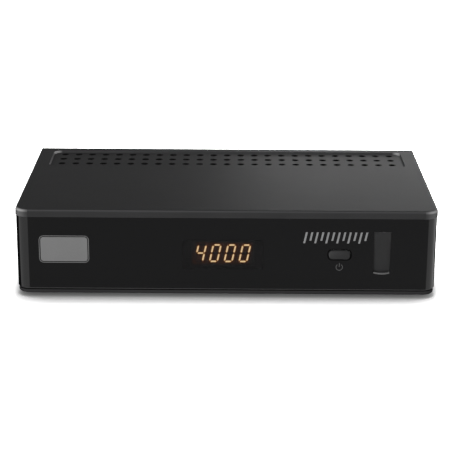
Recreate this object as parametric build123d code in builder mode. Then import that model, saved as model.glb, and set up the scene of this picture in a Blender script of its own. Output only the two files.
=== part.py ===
from build123d import *
import os
from math import radians, tan

# Satellite television receiver, in millimetres: +X right, +Y to the rear, +Z up.
# The origin lies on the surface that the feet stand on, halfway across, and midway between
# the front lip and the tip of the aerial connector, which is what reaches furthest back.

# ---- Casing ----
case_width = 220.0
case_depth = 124.0
case_height = 46.0
wall = 2.2
corner_radius = 7.0
top_edge_radius = 1.4
base_thickness = 2.1
base_inset = 0.7
base_edge_radius = 1.1
shadow_gap = 0.5
lip_height = 4.0
fit_gap = 0.2

# ---- Feet ----
foot_height = 2.0
foot_radius = 5.5
foot_recess = 0.6
foot_edge = 0.5
foot_inset_x = 22.0
foot_inset_y = 12.0

# ---- Ventilation ----
vent_columns = 25
vent_rows = 3
vent_pitch_x = 7.9
vent_pitch_y = 9.7
vent_radius = 1.4
vent_row_shift = 2.6
field_sunk = 1.2
field_width = 203.2
field_length = 32.8
field_rear_gap = 6.6
field_corner = 4.5
field_draft = 25.0
field_floor = 1.1
base_slot_length = 22.0
base_slot_width = 2.4
base_slot_pitch_x = 9.0
base_slot_pitch_y = 30.0
base_slot_columns = 11

# ---- Rim, bosses and screws ----
rim_thickness = 1.5
rim_height = 4.9
boss_radius = 4.5
boss_inset_x = 12.5
boss_inset_front = 24.0
boss_inset_rear = 16.0
boss_joint_height = 12.0
boss_rib = 1.5
screw_radius = 1.5
screw_fit = 0.05
screw_head_radius = 2.8
screw_head_height = 1.8
screw_head_edge = 0.6
screw_head_gap = 0.3
screw_sunk = 4.0
case_screw_length = 16.0

# ---- Front panel ----
panel_setback = 0.3
panel_wall = 2.2
panel_gap = 0.15
panel_return = 14.0
panel_bevel = 0.65
panel_seam = 0.05
skirt_height = 3.0
skirt_width = 184.0
skirt_thickness = 1.5

# ---- Display ----
display_x = -1.9
display_drop = 24.0
window_width = 42.0
window_height = 16.0
window_corner = 1.0
window_flange = 1.5
window_flange_thickness = 1.0
module_width = 32.0
module_height = 14.4
module_depth = 6.6
module_gap = 0.3
digit_pitch = 7.7
digit_width = 5.1
digit_height = 10.2
digit_slant = 12.0
bar_width = 1.15
bar_gap = 0.15
bar_depth = 1.5
shown_digits = "4000"

# ---- Remote-control window ----
ir_inset = 28.9
ir_width = 8.8
ir_top_drop = 11.1
ir_bottom_drop = 34.4
ir_bow = 0.7
ir_slope = 1.9
ir_flange = 1.4
ir_flange_thickness = 1.2
receiver_width = 6.8
receiver_height = 7.0
receiver_depth = 2.4
receiver_corner = 0.6
receiver_lens_radius = 2.0
receiver_stand = 0.8

# ---- Power key and its switch ----
key_inset = 51.0
key_drop = 23.9
key_width = 11.4
key_height = 4.7
key_end_radius = 1.9
key_top_gap = 0.7
key_bottom_gap = 0.2
key_side_gap = 0.35
key_top_sunk = 0.9
key_bottom_proud = 0.2
key_crown = 0.35
key_stop_gap = 0.1
key_flange = 1.2
key_flange_thickness = 1.0
key_stem_radius = 1.8
key_play = 0.05
key_travel = 0.3
switch_size = 6.0
switch_corner = 0.6
switch_depth = 3.5
plunger_radius = 1.7
plunger_fit = 0.1
plunger_out = 1.3
plunger_in = 1.0
plunger_float = 0.2

# ---- Boards ----
board_thickness = 1.6
standoff_height = 5.0
standoff_radius = 3.2
board_side_gap = 3.0
board_front = 14.0
board_rear_gap = 1.0
board_screw_inset = 4.5
board_screw_front = 8.0
board_screw_rear = 14.0
board_screw_length = 6.0
front_board_left = -34.0
front_board_inset = 15.0
front_board_foot = 8.0
front_board_head = 7.0
post_radius = 2.6
post_screw_radius = 1.2
post_screw_head_radius = 2.4
post_screw_head_height = 1.2
post_screw_length = 6.0
post_left_x = -28.0
post_middle_x = 36.0
post_inset = 20.0
post_low_z = 16.5
post_high_z = 34.0

# ---- Pin header between the boards ----
header_x = 12.0
header_pins = 8
header_pitch = 2.54
header_block = 2.5
header_stand = 0.4
pin_size = 0.64
pin_fit = 0.05

# ---- Rear plate ----
plate_thickness = 1.6
plate_recess = 1.0
plate_rib_height = 3.5
plate_rib_thickness = 1.5
cutout_gap = 0.3
socket_proud = 0.5

# ---- Tuner and aerial connector ----
tuner_inset = 48.0
tuner_width = 34.0
tuner_length = 29.0
tuner_height = 13.0
tuner_sheet = 0.6
tuner_lid_skirt = 3.5
tuner_lid_gap = 0.1
tuner_plate_gap = 3.0
f_radius = 4.76
f_neck_relief = 0.4
f_bore_radius = 3.3
f_shoulder_radius = 6.2
f_reach = 10.0
f_axis_height = 7.2
f_contact_radius = 0.55
f_insert_sunk = 0.5
washer_radius = 7.2
washer_thickness = 0.6
nut_flats = 12.0
nut_thickness = 2.4

# ---- Sockets in the rear plate ----
usb_x = -26.0
usb_width = 13.2
usb_height = 5.8
usb_length = 14.0
usb_sheet = 0.4
usb_tongue_width = 11.0
usb_tongue_thickness = 1.9
usb_tongue_lift = 2.5
usb_tongue_length = 9.0
usb_tongue_sunk = 1.0
lan_x = -4.0
lan_width = 16.0
lan_height = 13.4
lan_length = 16.0
lan_sheet = 0.5
lan_mouth_width = 11.8
lan_mouth_height = 8.2
lan_mouth_sill = 1.6
lan_mouth_depth = 11.0
lan_latch_width = 6.0
lan_latch_height = 1.8
hdmi_x = 19.0
hdmi_width = 14.8
hdmi_height = 6.0
hdmi_length = 11.5
hdmi_sheet = 0.4
hdmi_taper = 1.8
hdmi_tongue_width = 10.4
hdmi_tongue_thickness = 1.2
hdmi_tongue_lift = 2.4
hdmi_tongue_length = 7.5
hdmi_tongue_sunk = 1.0
audio_x = 38.0
audio_body_width = 10.0
audio_body_height = 12.0
audio_body_length = 8.0
audio_axis_height = 7.0
audio_barrel_radius = 4.15
audio_barrel_bore = 3.3
audio_barrel_length = 8.5
audio_collar = 0.6
audio_contact_radius = 1.6
av_x = 54.0
av_width = 8.0
av_height = 7.0
av_length = 14.0
av_bore_radius = 1.8
av_bush_radius = 3.0
av_bush_proud = 1.0
dc_inset = 34.0
dc_width = 9.0
dc_height = 11.0
dc_length = 14.0
dc_axis_height = 6.3
dc_bore_radius = 3.1
dc_bore_depth = 9.5
dc_pin_radius = 1.0
dc_pin_sunk = 0.6
dc_pin_tip = 0.5

# ---- Card reader and its slot ----
card_width = 54.0
card_thickness = 0.8
card_play = 0.4
card_depth = 56.0
card_y = 59.0
reader_rail = 1.6
reader_sheet = 1.0
reader_lift = 2.6
reader_wall_gap = 0.4
card_mouth_height = 2.4
card_mouth_flare = 0.9
reader_window_length = 22.4
reader_window_width = 27.0
reader_window_inset = 22.4
card_contact_inset = 33.6
card_contact_gap = 7.62
card_contact_count = 4
card_contact_pitch = 2.54

# ---- Parts on the main board ----
chip_x = -38.0
chip_y = 56.0
chip_size = 21.0
chip_thickness = 1.6
chip_corner = 0.5
pad_size = 20.0
pad_thickness = 0.5
sink_size = 30.0
sink_base = 2.0
sink_height = 12.0
sink_fins = 8
sink_fin_thickness = 1.2
memory_x = -64.0
memory_y = 46.0
memory_width = 9.0
memory_length = 13.0
memory_thickness = 1.1
flash_x = -38.0
flash_y = 84.0
flash_size = 5.2
flash_thickness = 1.7
crystal_x = -12.0
crystal_length = 11.0
crystal_width = 4.4
crystal_height = 3.4
demod_gap = 6.0
demod_size = 12.0
demod_thickness = 1.2
transformer_width = 12.5
transformer_length = 9.0
transformer_height = 5.6
transformer_gap = 11.0
small_cap_radius = 3.15
small_cap_height = 7.0
large_cap_radius = 4.0
large_cap_height = 11.5
cap_collar = 0.4
small_cap_places = ((-75.0, 62.0), (-75.0, 50.0), (10.0, 40.0), (24.0, 40.0))
large_cap_places = ((30.0, 80.0), (30.0, 92.0), (18.0, 92.0))
coil_size = 7.0
coil_height = 4.0
coil_corner = 1.2
coil_core_radius = 2.4
coil_well = 0.6
coil_places = ((22.0, 66.0), (10.0, 66.0), (-24.0, 30.0))

# ---- Levels and planes worked out from the sizes above ----
front_y = -(case_depth + f_reach) / 2
rear_y = front_y + case_depth
middle_y = (front_y + rear_y) / 2
base_z = foot_height
base_top_z = base_z + base_thickness
walls_z = base_top_z + shadow_gap
top_z = base_z + case_height
ceiling_z = top_z - wall
lip_z = top_z - lip_height
boss_z = base_top_z + boss_joint_height
screw_seat_z = base_z + screw_head_height + screw_sunk
board_z = base_top_z + standoff_height
board_top_z = board_z + board_thickness
panel_y = front_y + panel_setback
panel_back_y = panel_y + panel_wall
panel_top_z = lip_z - panel_gap
display_z = top_z - display_drop
key_x = case_width / 2 - key_inset
ir_x = case_width / 2 - ir_inset
front_board_right = case_width / 2 - front_board_inset
key_z = top_z - key_drop
ir_top_z = top_z - ir_top_drop
ir_bottom_z = top_z - ir_bottom_drop
module_y = panel_back_y + module_gap
front_board_y = module_y + module_depth
front_board_back_y = front_board_y + board_thickness
plate_outer_y = rear_y - plate_recess
plate_inner_y = plate_outer_y - plate_thickness
mouth_y = plate_outer_y + socket_proud
board_rear_y = plate_inner_y - board_rear_gap
tuner_rear_y = plate_inner_y - tuner_plate_gap
f_tip_y = rear_y + f_reach
nut_outer_y = plate_outer_y + washer_thickness + nut_thickness
f_z = board_top_z + f_axis_height
f_neck_radius = f_radius - f_neck_relief
audio_z = board_top_z + audio_axis_height
av_z = board_top_z + av_height / 2
dc_z = board_top_z + dc_axis_height
card_z = board_top_z + reader_lift
card_gap = card_thickness + card_play
tuner_x = tuner_inset - case_width / 2
dc_x = case_width / 2 - dc_inset
field_y = rear_y - field_rear_gap - field_length / 2
board_front_y = front_y + board_front
board_width = case_width - 2 * (boss_inset_x + boss_radius + board_side_gap)
inner_x = case_width / 2 - wall
rim_x = inner_x - fit_gap
reader_mouth_x = inner_x - reader_wall_gap
module_digits = len(shown_digits)

post_places = [
    (post_left_x, post_low_z),
    (post_middle_x, post_high_z),
    (case_width / 2 - post_inset, post_low_z),
]
case_screw_places = [
    (side * (case_width / 2 - boss_inset_x), y)
    for side in (-1, 1)
    for y in (front_y + boss_inset_front, rear_y - boss_inset_rear)
]
board_screw_places = [
    (side * (board_width / 2 - board_screw_inset), y)
    for side in (-1, 1)
    for y in (board_front_y + board_screw_front, board_rear_y - board_screw_rear)
]
foot_places = [
    (side * (case_width / 2 - foot_inset_x), y)
    for side in (-1, 1)
    for y in (front_y + foot_inset_y, rear_y - foot_inset_y)
]


def upright(y):
    """Upright plane at depth y that faces the front: its x is X and its y is Z."""
    return Plane.XZ.offset(-y)


def casing_plan(inset):
    """Draws the casing's plan, moved in by inset: square at the rear, round front corners."""
    with Locations((0, middle_y)):
        Rectangle(case_width - 2 * inset, case_depth - 2 * inset)
    fillet(vertices().group_by(Axis.Y)[0], corner_radius - inset)


def keep_front_strip(depth):
    """Removes all of the open sketch that lies more than depth behind the front edge."""
    with Locations((0, front_y + depth)):
        Rectangle(case_width, case_depth, align=(Align.CENTER, Align.MIN), mode=Mode.SUBTRACT)


def rounded_at(x, z, width, height, radius):
    """Draws a rounded rectangle centred at x, z."""
    with Locations((x, z)):
        RectangleRounded(width, height, radius)


def standing_at(x, z, width, height):
    """Draws a rectangle centred at x whose lower edge is at z."""
    with Locations((x, z)):
        Rectangle(width, height, align=(Align.CENTER, Align.MIN))


def write(builder, name):
    """Labels a finished piece and writes it as parts/name.step."""
    builder.part.label = name
    export_step(builder.part, f"parts/{name}.step")


os.makedirs("parts", exist_ok=True)

# ---- Top cover: roof, side walls and front lip in one moulding, with a sunk ventilation field ----
with BuildPart() as top_cover:
    with BuildSketch(Plane.XY.offset(walls_z)):
        casing_plan(0)
    extrude(amount=top_z - walls_z)
    fillet(top_cover.faces().sort_by(Axis.Z)[-1].edges(), top_edge_radius)
    # The inside is open at the rear and below.
    with BuildSketch(Plane.XY.offset(walls_z)):
        casing_plan(wall)
        with Locations((0, middle_y)):
            Rectangle(2 * inner_x, case_depth, align=(Align.CENTER, Align.MIN))
    extrude(amount=ceiling_z - walls_z, mode=Mode.SUBTRACT)
    # The front panel takes the place of the walls below the lip.
    with BuildSketch(Plane.XY.offset(walls_z)):
        casing_plan(-fit_gap)
        keep_front_strip(panel_return + fit_gap)
    extrude(amount=lip_z - walls_z, mode=Mode.SUBTRACT)
    # Skirt behind the panel's top edge.
    with BuildSketch(Plane.XY.offset(ceiling_z)):
        with Locations((0, panel_back_y + fit_gap)):
            Rectangle(skirt_width, skirt_thickness, align=(Align.CENTER, Align.MIN))
    extrude(amount=-(ceiling_z - lip_z + skirt_height))
    # Rib that holds the rear plate's top edge against its stop.
    with BuildSketch(Plane.XY.offset(ceiling_z)):
        with Locations((0, plate_inner_y - fit_gap)):
            Rectangle(skirt_width, plate_rib_thickness, align=(Align.CENTER, Align.MAX))
    extrude(amount=-plate_rib_height)
    # Thickening under the ventilation field.
    with BuildSketch(Plane.XY.offset(top_z - field_sunk - field_floor)):
        with Locations((0, field_y)):
            Rectangle(field_width, field_length)
    extrude(until=Until.NEXT)
    # Screw bosses, each tied to the side wall by a rib.
    with BuildSketch(Plane.XY.offset(boss_z)):
        with Locations(*case_screw_places):
            Circle(boss_radius)
        for x, y in case_screw_places:
            outward = Align.MIN if x > 0 else Align.MAX
            with Locations((x, y)):
                Rectangle(boss_inset_x - wall, boss_rib, align=(outward, Align.CENTER))
    extrude(until=Until.NEXT)
    with BuildSketch(Plane.XY.offset(boss_z)):
        with Locations(*case_screw_places):
            Circle(screw_radius + screw_fit)
    extrude(amount=case_screw_length, mode=Mode.SUBTRACT)
    # Sunk field and its holes.
    with BuildSketch(Plane.XY.offset(top_z)):
        with Locations((0, field_y)):
            RectangleRounded(field_width, field_length, field_corner)
    extrude(amount=-field_sunk, taper=field_draft, mode=Mode.SUBTRACT)
    with BuildSketch(Plane.XY.offset(top_z)):
        with Locations((0, field_y + vent_row_shift)):
            with GridLocations(vent_pitch_x, vent_pitch_y, vent_columns, vent_rows):
                Circle(vent_radius)
    extrude(amount=-(field_sunk + field_floor + wall), mode=Mode.SUBTRACT)
    # Flared mouth of the card slot in the right wall.
    with BuildSketch(Plane.YZ.offset(case_width / 2)):
        with Locations((front_y + card_y, card_z + card_gap / 2)):
            Rectangle(
                card_width + 2 * (card_play + card_mouth_flare),
                card_mouth_height + 2 * card_mouth_flare,
            )
    extrude(amount=-card_mouth_flare, taper=45, mode=Mode.SUBTRACT)
    with BuildSketch(Plane.YZ.offset(case_width / 2)):
        with Locations((front_y + card_y, card_z + card_gap / 2)):
            Rectangle(card_width + 2 * card_play, card_mouth_height)
    extrude(amount=-2 * wall, mode=Mode.SUBTRACT)
write(top_cover, "top_cover")

# ---- Bottom case: base slab with a rim inside the walls, standoffs and screw bosses ----
with BuildPart() as bottom_case:
    with BuildSketch(Plane.XY.offset(base_z)):
        casing_plan(base_inset)
    extrude(amount=base_thickness)
    fillet(bottom_case.faces().sort_by(Axis.Z)[0].edges(), base_edge_radius)
    with BuildSketch(Plane.XY.offset(base_top_z)):
        casing_plan(wall + panel_setback + fit_gap)
        with BuildSketch(mode=Mode.SUBTRACT):
            casing_plan(wall + panel_setback + fit_gap + rim_thickness)
            with Locations((0, middle_y)):
                Rectangle(
                    2 * (rim_x - panel_setback - rim_thickness),
                    case_depth,
                    align=(Align.CENTER, Align.MIN),
                )
    extrude(amount=rim_height)
    # Ribs in front of the rear plate.
    with BuildSketch(Plane.XY.offset(base_top_z)):
        with Locations((0, plate_inner_y - fit_gap)):
            Rectangle(skirt_width, plate_rib_thickness, align=(Align.CENTER, Align.MAX))
    extrude(amount=plate_rib_height)
    with BuildSketch(Plane.XY.offset(base_top_z)):
        with Locations(*case_screw_places):
            Circle(boss_radius)
    extrude(amount=boss_z - base_top_z)
    with BuildSketch(Plane.XY.offset(base_top_z)):
        with Locations(*board_screw_places):
            Circle(standoff_radius)
    extrude(amount=standoff_height)
    with BuildSketch(Plane.XY.offset(board_z)):
        with Locations(*board_screw_places):
            Circle(screw_radius + screw_fit)
    extrude(amount=-standoff_height, mode=Mode.SUBTRACT)
    # Screw clearance holes, sunk from below.
    with BuildSketch(Plane.XY.offset(base_z)):
        with Locations(*case_screw_places):
            Circle(screw_radius + screw_head_gap)
    extrude(amount=boss_z - base_z, mode=Mode.SUBTRACT)
    with BuildSketch(Plane.XY.offset(base_z)):
        with Locations(*case_screw_places):
            Circle(screw_head_radius + screw_head_gap)
    extrude(amount=screw_seat_z - base_z, mode=Mode.SUBTRACT)
    # Recesses that the feet are glued into, and the air slots under the board.
    with BuildSketch(Plane.XY.offset(base_z)):
        with Locations(*foot_places):
            Circle(foot_radius + fit_gap)
    extrude(amount=foot_recess, mode=Mode.SUBTRACT)
    with BuildSketch(Plane.XY.offset(base_z)):
        with Locations((0, middle_y)):
            with GridLocations(base_slot_pitch_x, base_slot_pitch_y, base_slot_columns, 2):
                SlotOverall(base_slot_length, base_slot_width, rotation=90)
    extrude(amount=base_thickness, mode=Mode.SUBTRACT)
write(bottom_case, "bottom_case")

# ---- Front panel: glossy moulding that wraps both front corners ----


def ir_outline(clearance):
    """Draws the remote-control window's outline: straight top and sides, bowed bottom edge."""
    half = ir_width / 2 - clearance
    low = ir_bottom_z + ir_bow + clearance
    high = ir_top_z - clearance
    with BuildLine() as ring:
        Polyline((ir_x - half, low), (ir_x - half, high), (ir_x + half, high), (ir_x + half, low))
        ThreePointArc((ir_x + half, low), (ir_x, low - ir_bow), (ir_x - half, low))
    make_face(ring.edges())


with BuildPart() as front_panel:
    with BuildSketch(Plane.XY.offset(walls_z)):
        casing_plan(panel_setback)
        keep_front_strip(panel_return)
    extrude(amount=panel_top_z - walls_z)
    chamfer(front_panel.faces().sort_by(Axis.Z)[0].edges().sort_by(Axis.Y)[:-1], panel_bevel)
    with BuildSketch(Plane.XY.offset(walls_z)):
        casing_plan(panel_setback + panel_wall)
    extrude(amount=panel_top_z - walls_z, mode=Mode.SUBTRACT)
    # Display opening, with a rebate behind it for the window's flange.
    with BuildSketch(upright(panel_y)):
        rounded_at(display_x, display_z, window_width, window_height, window_corner)
    extrude(amount=-panel_wall, mode=Mode.SUBTRACT)
    with BuildSketch(upright(panel_back_y)):
        rounded_at(
            display_x,
            display_z,
            window_width + 2 * window_flange,
            window_height + 2 * window_flange,
            window_corner + window_flange,
        )
    extrude(amount=window_flange_thickness, mode=Mode.SUBTRACT)
    # Openings for the power key and the remote-control window.
    with BuildSketch(upright(panel_y)):
        rounded_at(
            key_x,
            key_z + (key_top_gap - key_bottom_gap) / 2,
            key_width + 2 * key_side_gap,
            key_height + key_top_gap + key_bottom_gap,
            key_end_radius + key_side_gap,
        )
        ir_outline(0)
    extrude(amount=-panel_wall, mode=Mode.SUBTRACT)
    # Posts that carry the front board.
    with BuildSketch(upright(panel_back_y)):
        with Locations(*post_places):
            Circle(post_radius)
    extrude(amount=-(front_board_y - panel_back_y))
    with BuildSketch(upright(front_board_y)):
        with Locations(*post_places):
            Circle(post_screw_radius + screw_fit)
    extrude(amount=front_board_y - panel_back_y, mode=Mode.SUBTRACT)
write(front_panel, "front_panel")

# ---- Smoked windows for the display and the remote control ----
with BuildPart() as display_window:
    with BuildSketch(upright(panel_y)):
        rounded_at(
            display_x,
            display_z,
            window_width - 2 * panel_seam,
            window_height - 2 * panel_seam,
            window_corner - panel_seam,
        )
    extrude(amount=-panel_wall)
    with BuildSketch(upright(panel_back_y)):
        rounded_at(
            display_x,
            display_z,
            window_width + 2 * (window_flange - panel_seam),
            window_height + 2 * (window_flange - panel_seam),
            window_corner + window_flange,
        )
    extrude(amount=window_flange_thickness)
write(display_window, "display_window")

with BuildPart() as ir_window:
    with BuildSketch(upright(panel_y)):
        ir_outline(panel_seam)
    extrude(amount=-panel_wall)
    with BuildSketch(upright(panel_back_y)):
        rounded_at(
            ir_x,
            (ir_top_z + ir_bottom_z) / 2,
            ir_width + 2 * ir_flange,
            ir_top_z - ir_bottom_z + 2 * ir_flange,
            ir_flange,
        )
    extrude(amount=-ir_flange_thickness)
    # The face leans in towards its foot, which leaves a sill in the opening.
    with BuildSketch(Plane.YZ.offset(ir_x)):
        Polygon(
            (panel_y, ir_top_z),
            (panel_y + ir_slope, ir_bottom_z),
            (panel_y, ir_bottom_z),
            align=None,
        )
    extrude(amount=ir_width / 2, both=True, mode=Mode.SUBTRACT)
write(ir_window, "ir_window")

# ---- Power key: crowned face that leans back, stop flange and stem ----
key_flange_y = panel_back_y + key_stop_gap
plunger_tip_y = front_board_y - switch_depth - plunger_out
key_low_z = key_z - key_height / 2
key_high_z = key_z + key_height / 2

with BuildPart() as power_key:
    with BuildSketch(Plane.YZ.offset(key_x)):
        with BuildLine():
            Polyline(
                (panel_y - key_bottom_proud, key_low_z),
                (key_flange_y, key_low_z),
                (key_flange_y, key_high_z),
                (panel_y + key_top_sunk, key_high_z),
            )
            SagittaArc(
                (panel_y + key_top_sunk, key_high_z),
                (panel_y - key_bottom_proud, key_low_z),
                -key_crown,
            )
        make_face()
    extrude(amount=key_width / 2, both=True)
    with BuildSketch(upright(panel_y - key_bottom_proud - key_crown)):
        rounded_at(key_x, key_z, key_width, key_height, key_end_radius)
    extrude(amount=-(key_flange_y - panel_y + key_bottom_proud + key_crown), mode=Mode.INTERSECT)
    with BuildSketch(upright(key_flange_y)):
        rounded_at(
            key_x,
            key_z,
            key_width + 2 * key_flange,
            key_height + 2 * key_flange,
            key_end_radius + key_flange,
        )
    extrude(amount=-key_flange_thickness)
    with BuildSketch(upright(key_flange_y)):
        with Locations((key_x, key_z)):
            Circle(key_stem_radius)
    extrude(amount=-(plunger_tip_y - key_play - key_flange_y))
write(power_key, "power_key")

with BuildPart() as key_switch:
    with BuildSketch(upright(front_board_y)):
        rounded_at(key_x, key_z, switch_size, switch_size, switch_corner)
    extrude(amount=switch_depth)
    with BuildSketch(upright(front_board_y - switch_depth)):
        with Locations((key_x, key_z)):
            Circle(plunger_radius + plunger_fit)
    extrude(amount=-(plunger_in + key_travel + plunger_float), mode=Mode.SUBTRACT)
write(key_switch, "key_switch")

with BuildPart() as switch_plunger:
    with BuildSketch(upright(plunger_tip_y)):
        with Locations((key_x, key_z)):
            Circle(plunger_radius)
    extrude(amount=-(plunger_out + plunger_in))
write(switch_plunger, "switch_plunger")

# ---- Numeric display: black module with light bars potted into its face ----
bar_span_x = (digit_width - bar_width) / 2
bar_span_z = (digit_height - bar_width) / 2
bar_centres = {
    "a": (0, bar_span_z),
    "b": (bar_span_x, bar_span_z / 2),
    "c": (bar_span_x, -bar_span_z / 2),
    "d": (0, -bar_span_z),
    "e": (-bar_span_x, -bar_span_z / 2),
    "f": (-bar_span_x, bar_span_z / 2),
    "g": (0, 0),
}
bars_of_digit = {"4": "bcfg", "0": "abcdef"}


def draw_bar(digit_x, bar):
    """Draws one pointed light bar of a slanted seven-bar digit centred at digit_x."""
    across, up = bar_centres[bar]
    half = bar_width / 2
    if bar in "adg":
        reach = bar_span_x - bar_gap
        corners = ((-reach, 0), (half - reach, half), (reach - half, half))
    else:
        reach = bar_span_z / 2 - bar_gap
        corners = ((0, reach), (half, reach - half), (half, half - reach))
    ring = corners + tuple((-x, -z) for x, z in corners)
    points = [
        (digit_x + across + x + (up + z) * tan(radians(digit_slant)), display_z + up + z)
        for x, z in ring
    ]
    Polygon(*points, align=None)


def draw_bars(lit):
    """Draws every bar of the display that is lit, or every one that isn't."""
    for index, digit in enumerate(shown_digits):
        digit_x = display_x + (index - (module_digits - 1) / 2) * digit_pitch
        for bar in bar_centres:
            if (bar in bars_of_digit[digit]) == lit:
                draw_bar(digit_x, bar)


with BuildPart() as display_module:
    with BuildSketch(upright(front_board_y)):
        rounded_at(display_x, display_z, module_width, module_height, window_corner)
    extrude(amount=module_depth)
    with BuildSketch(upright(module_y)):
        draw_bars(True)
        draw_bars(False)
    extrude(amount=-bar_depth, mode=Mode.SUBTRACT)
write(display_module, "display_module")

with BuildPart() as lit_bars:
    with BuildSketch(upright(module_y)):
        draw_bars(True)
    extrude(amount=-bar_depth)
write(lit_bars, "lit_bars")

with BuildPart() as unlit_bars:
    with BuildSketch(upright(module_y)):
        draw_bars(False)
    extrude(amount=-bar_depth)
write(unlit_bars, "unlit_bars")

# ---- Remote-control receiver: moulded chip with a lens, on three legs ----
receiver_z = (ir_top_z + ir_bottom_z) / 2
receiver_back_y = front_board_y - receiver_stand

with BuildPart() as ir_receiver:
    with BuildSketch(upright(receiver_back_y)):
        rounded_at(ir_x, receiver_z, receiver_width, receiver_height, receiver_corner)
    extrude(amount=receiver_depth)
    with Locations((ir_x, receiver_back_y - receiver_depth, receiver_z)):
        Sphere(receiver_lens_radius)
    with BuildSketch(upright(front_board_y)):
        with Locations((ir_x, receiver_z)):
            with GridLocations(header_pitch, header_pitch, 3, 1):
                Rectangle(pin_size, pin_size)
    extrude(amount=receiver_stand)
write(ir_receiver, "ir_receiver")

# ---- Front board, upright behind the panel, and the pins that join it to the main board ----
header_z = board_top_z + header_stand + header_block / 2
header_y = board_front_y + header_stand

with BuildPart() as front_board:
    with BuildSketch(upright(front_board_y)):
        with Locations(((front_board_left + front_board_right) / 2, base_top_z + front_board_foot)):
            Rectangle(
                front_board_right - front_board_left,
                ceiling_z - front_board_head - base_top_z - front_board_foot,
                align=(Align.CENTER, Align.MIN),
            )
        with Locations(*post_places):
            Circle(post_screw_radius + screw_fit, mode=Mode.SUBTRACT)
        with Locations((header_x, header_z)):
            with GridLocations(header_pitch, header_pitch, header_pins, 1):
                Rectangle(pin_size + 2 * pin_fit, pin_size + 2 * pin_fit, mode=Mode.SUBTRACT)
    extrude(amount=-board_thickness)
write(front_board, "front_board")

with BuildPart() as board_header:
    with BuildSketch(upright(header_y)):
        with Locations((header_x, header_z)):
            Rectangle(header_pins * header_pitch, header_block)
    extrude(amount=-header_block)
    with BuildSketch(upright(header_y)):
        with Locations((header_x, header_z)):
            with GridLocations(header_pitch, header_pitch, header_pins, 1):
                Rectangle(pin_size, pin_size)
    extrude(amount=header_y - front_board_y)
    with BuildSketch(Plane.XY.offset(board_top_z)):
        with Locations((header_x, header_y + header_block / 2)):
            with GridLocations(header_pitch, header_pitch, header_pins, 1):
                Rectangle(pin_size, pin_size)
    extrude(amount=header_stand)
write(board_header, "board_header")

with BuildPart() as front_board_screws:
    with BuildSketch(upright(front_board_back_y)):
        with Locations(*post_places):
            Circle(post_screw_radius)
    extrude(amount=post_screw_length)
    with BuildSketch(upright(front_board_back_y)):
        with Locations(*post_places):
            Circle(post_screw_head_radius)
    extrude(amount=-post_screw_head_height)
write(front_board_screws, "front_board_screws")

# ---- Main board ----
with BuildPart() as main_board:
    with BuildSketch(Plane.XY.offset(board_z)):
        with Locations((0, board_front_y)):
            Rectangle(board_width, board_rear_y - board_front_y, align=(Align.CENTER, Align.MIN))
        with Locations(*board_screw_places):
            Circle(screw_radius + screw_head_gap, mode=Mode.SUBTRACT)
    extrude(amount=board_thickness)
write(main_board, "main_board")

with BuildPart() as board_screws:
    with BuildSketch(Plane.XY.offset(board_top_z)):
        with Locations(*board_screw_places):
            Circle(screw_radius)
    extrude(amount=-board_screw_length)
    with BuildSketch(Plane.XY.offset(board_top_z)):
        with Locations(*board_screw_places):
            Circle(screw_head_radius)
    extrude(amount=screw_head_height)
    chamfer(board_screws.faces().group_by(Axis.Z)[-1].edges(), screw_head_edge)
write(board_screws, "board_screws")

with BuildPart() as case_screws:
    with BuildSketch(Plane.XY.offset(screw_seat_z)):
        with Locations(*case_screw_places):
            Circle(screw_radius)
    extrude(amount=case_screw_length)
    with BuildSketch(Plane.XY.offset(screw_seat_z)):
        with Locations(*case_screw_places):
            Circle(screw_head_radius)
    extrude(amount=-screw_head_height)
write(case_screws, "case_screws")

with BuildPart() as feet:
    with BuildSketch(Plane.XY):
        with Locations(*foot_places):
            Circle(foot_radius)
    extrude(amount=foot_height + foot_recess)
    chamfer(feet.faces().group_by(Axis.Z)[0].edges(), foot_edge)
write(feet, "feet")

# ---- Tuner: tinned can with a push-on lid, and the threaded aerial connector ----
with BuildPart() as tuner_can:
    with BuildSketch(Plane.XY.offset(board_top_z)):
        with Locations((tuner_x, tuner_rear_y)):
            Rectangle(tuner_width, tuner_length, align=(Align.CENTER, Align.MAX))
        with Locations((tuner_x, tuner_rear_y - tuner_sheet)):
            Rectangle(
                tuner_width - 2 * tuner_sheet,
                tuner_length - 2 * tuner_sheet,
                align=(Align.CENTER, Align.MAX),
                mode=Mode.SUBTRACT,
            )
        with Locations((tuner_x, tuner_rear_y - tuner_length / 2)):
            Rectangle(tuner_width, tuner_sheet)
    extrude(amount=tuner_height)
    with BuildSketch(upright(tuner_rear_y)):
        with Locations((tuner_x, f_z)):
            Circle(f_bore_radius)
    extrude(amount=tuner_sheet, mode=Mode.SUBTRACT)
write(tuner_can, "tuner_can")

with BuildPart() as tuner_lid:
    with BuildSketch(Plane.XY.offset(board_top_z + tuner_height)):
        with Locations((tuner_x, tuner_rear_y - tuner_length / 2)):
            Rectangle(
                tuner_width + 2 * (tuner_sheet + tuner_lid_gap),
                tuner_length + 2 * (tuner_sheet + tuner_lid_gap),
            )
    extrude(amount=tuner_sheet)
    with BuildSketch(Plane.XY.offset(board_top_z + tuner_height)):
        with Locations((tuner_x, tuner_rear_y - tuner_length / 2)):
            Rectangle(
                tuner_width + 2 * (tuner_sheet + tuner_lid_gap),
                tuner_length + 2 * (tuner_sheet + tuner_lid_gap),
            )
            Rectangle(
                tuner_width + 2 * tuner_lid_gap,
                tuner_length + 2 * tuner_lid_gap,
                mode=Mode.SUBTRACT,
            )
    extrude(amount=-tuner_lid_skirt)
    # The skirt is cut away over the aerial connector.
    with BuildSketch(upright(plate_inner_y)):
        with Locations((tuner_x, f_z)):
            Circle(f_shoulder_radius + cutout_gap)
    extrude(amount=tuner_plate_gap, mode=Mode.SUBTRACT)
write(tuner_lid, "tuner_lid")

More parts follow.
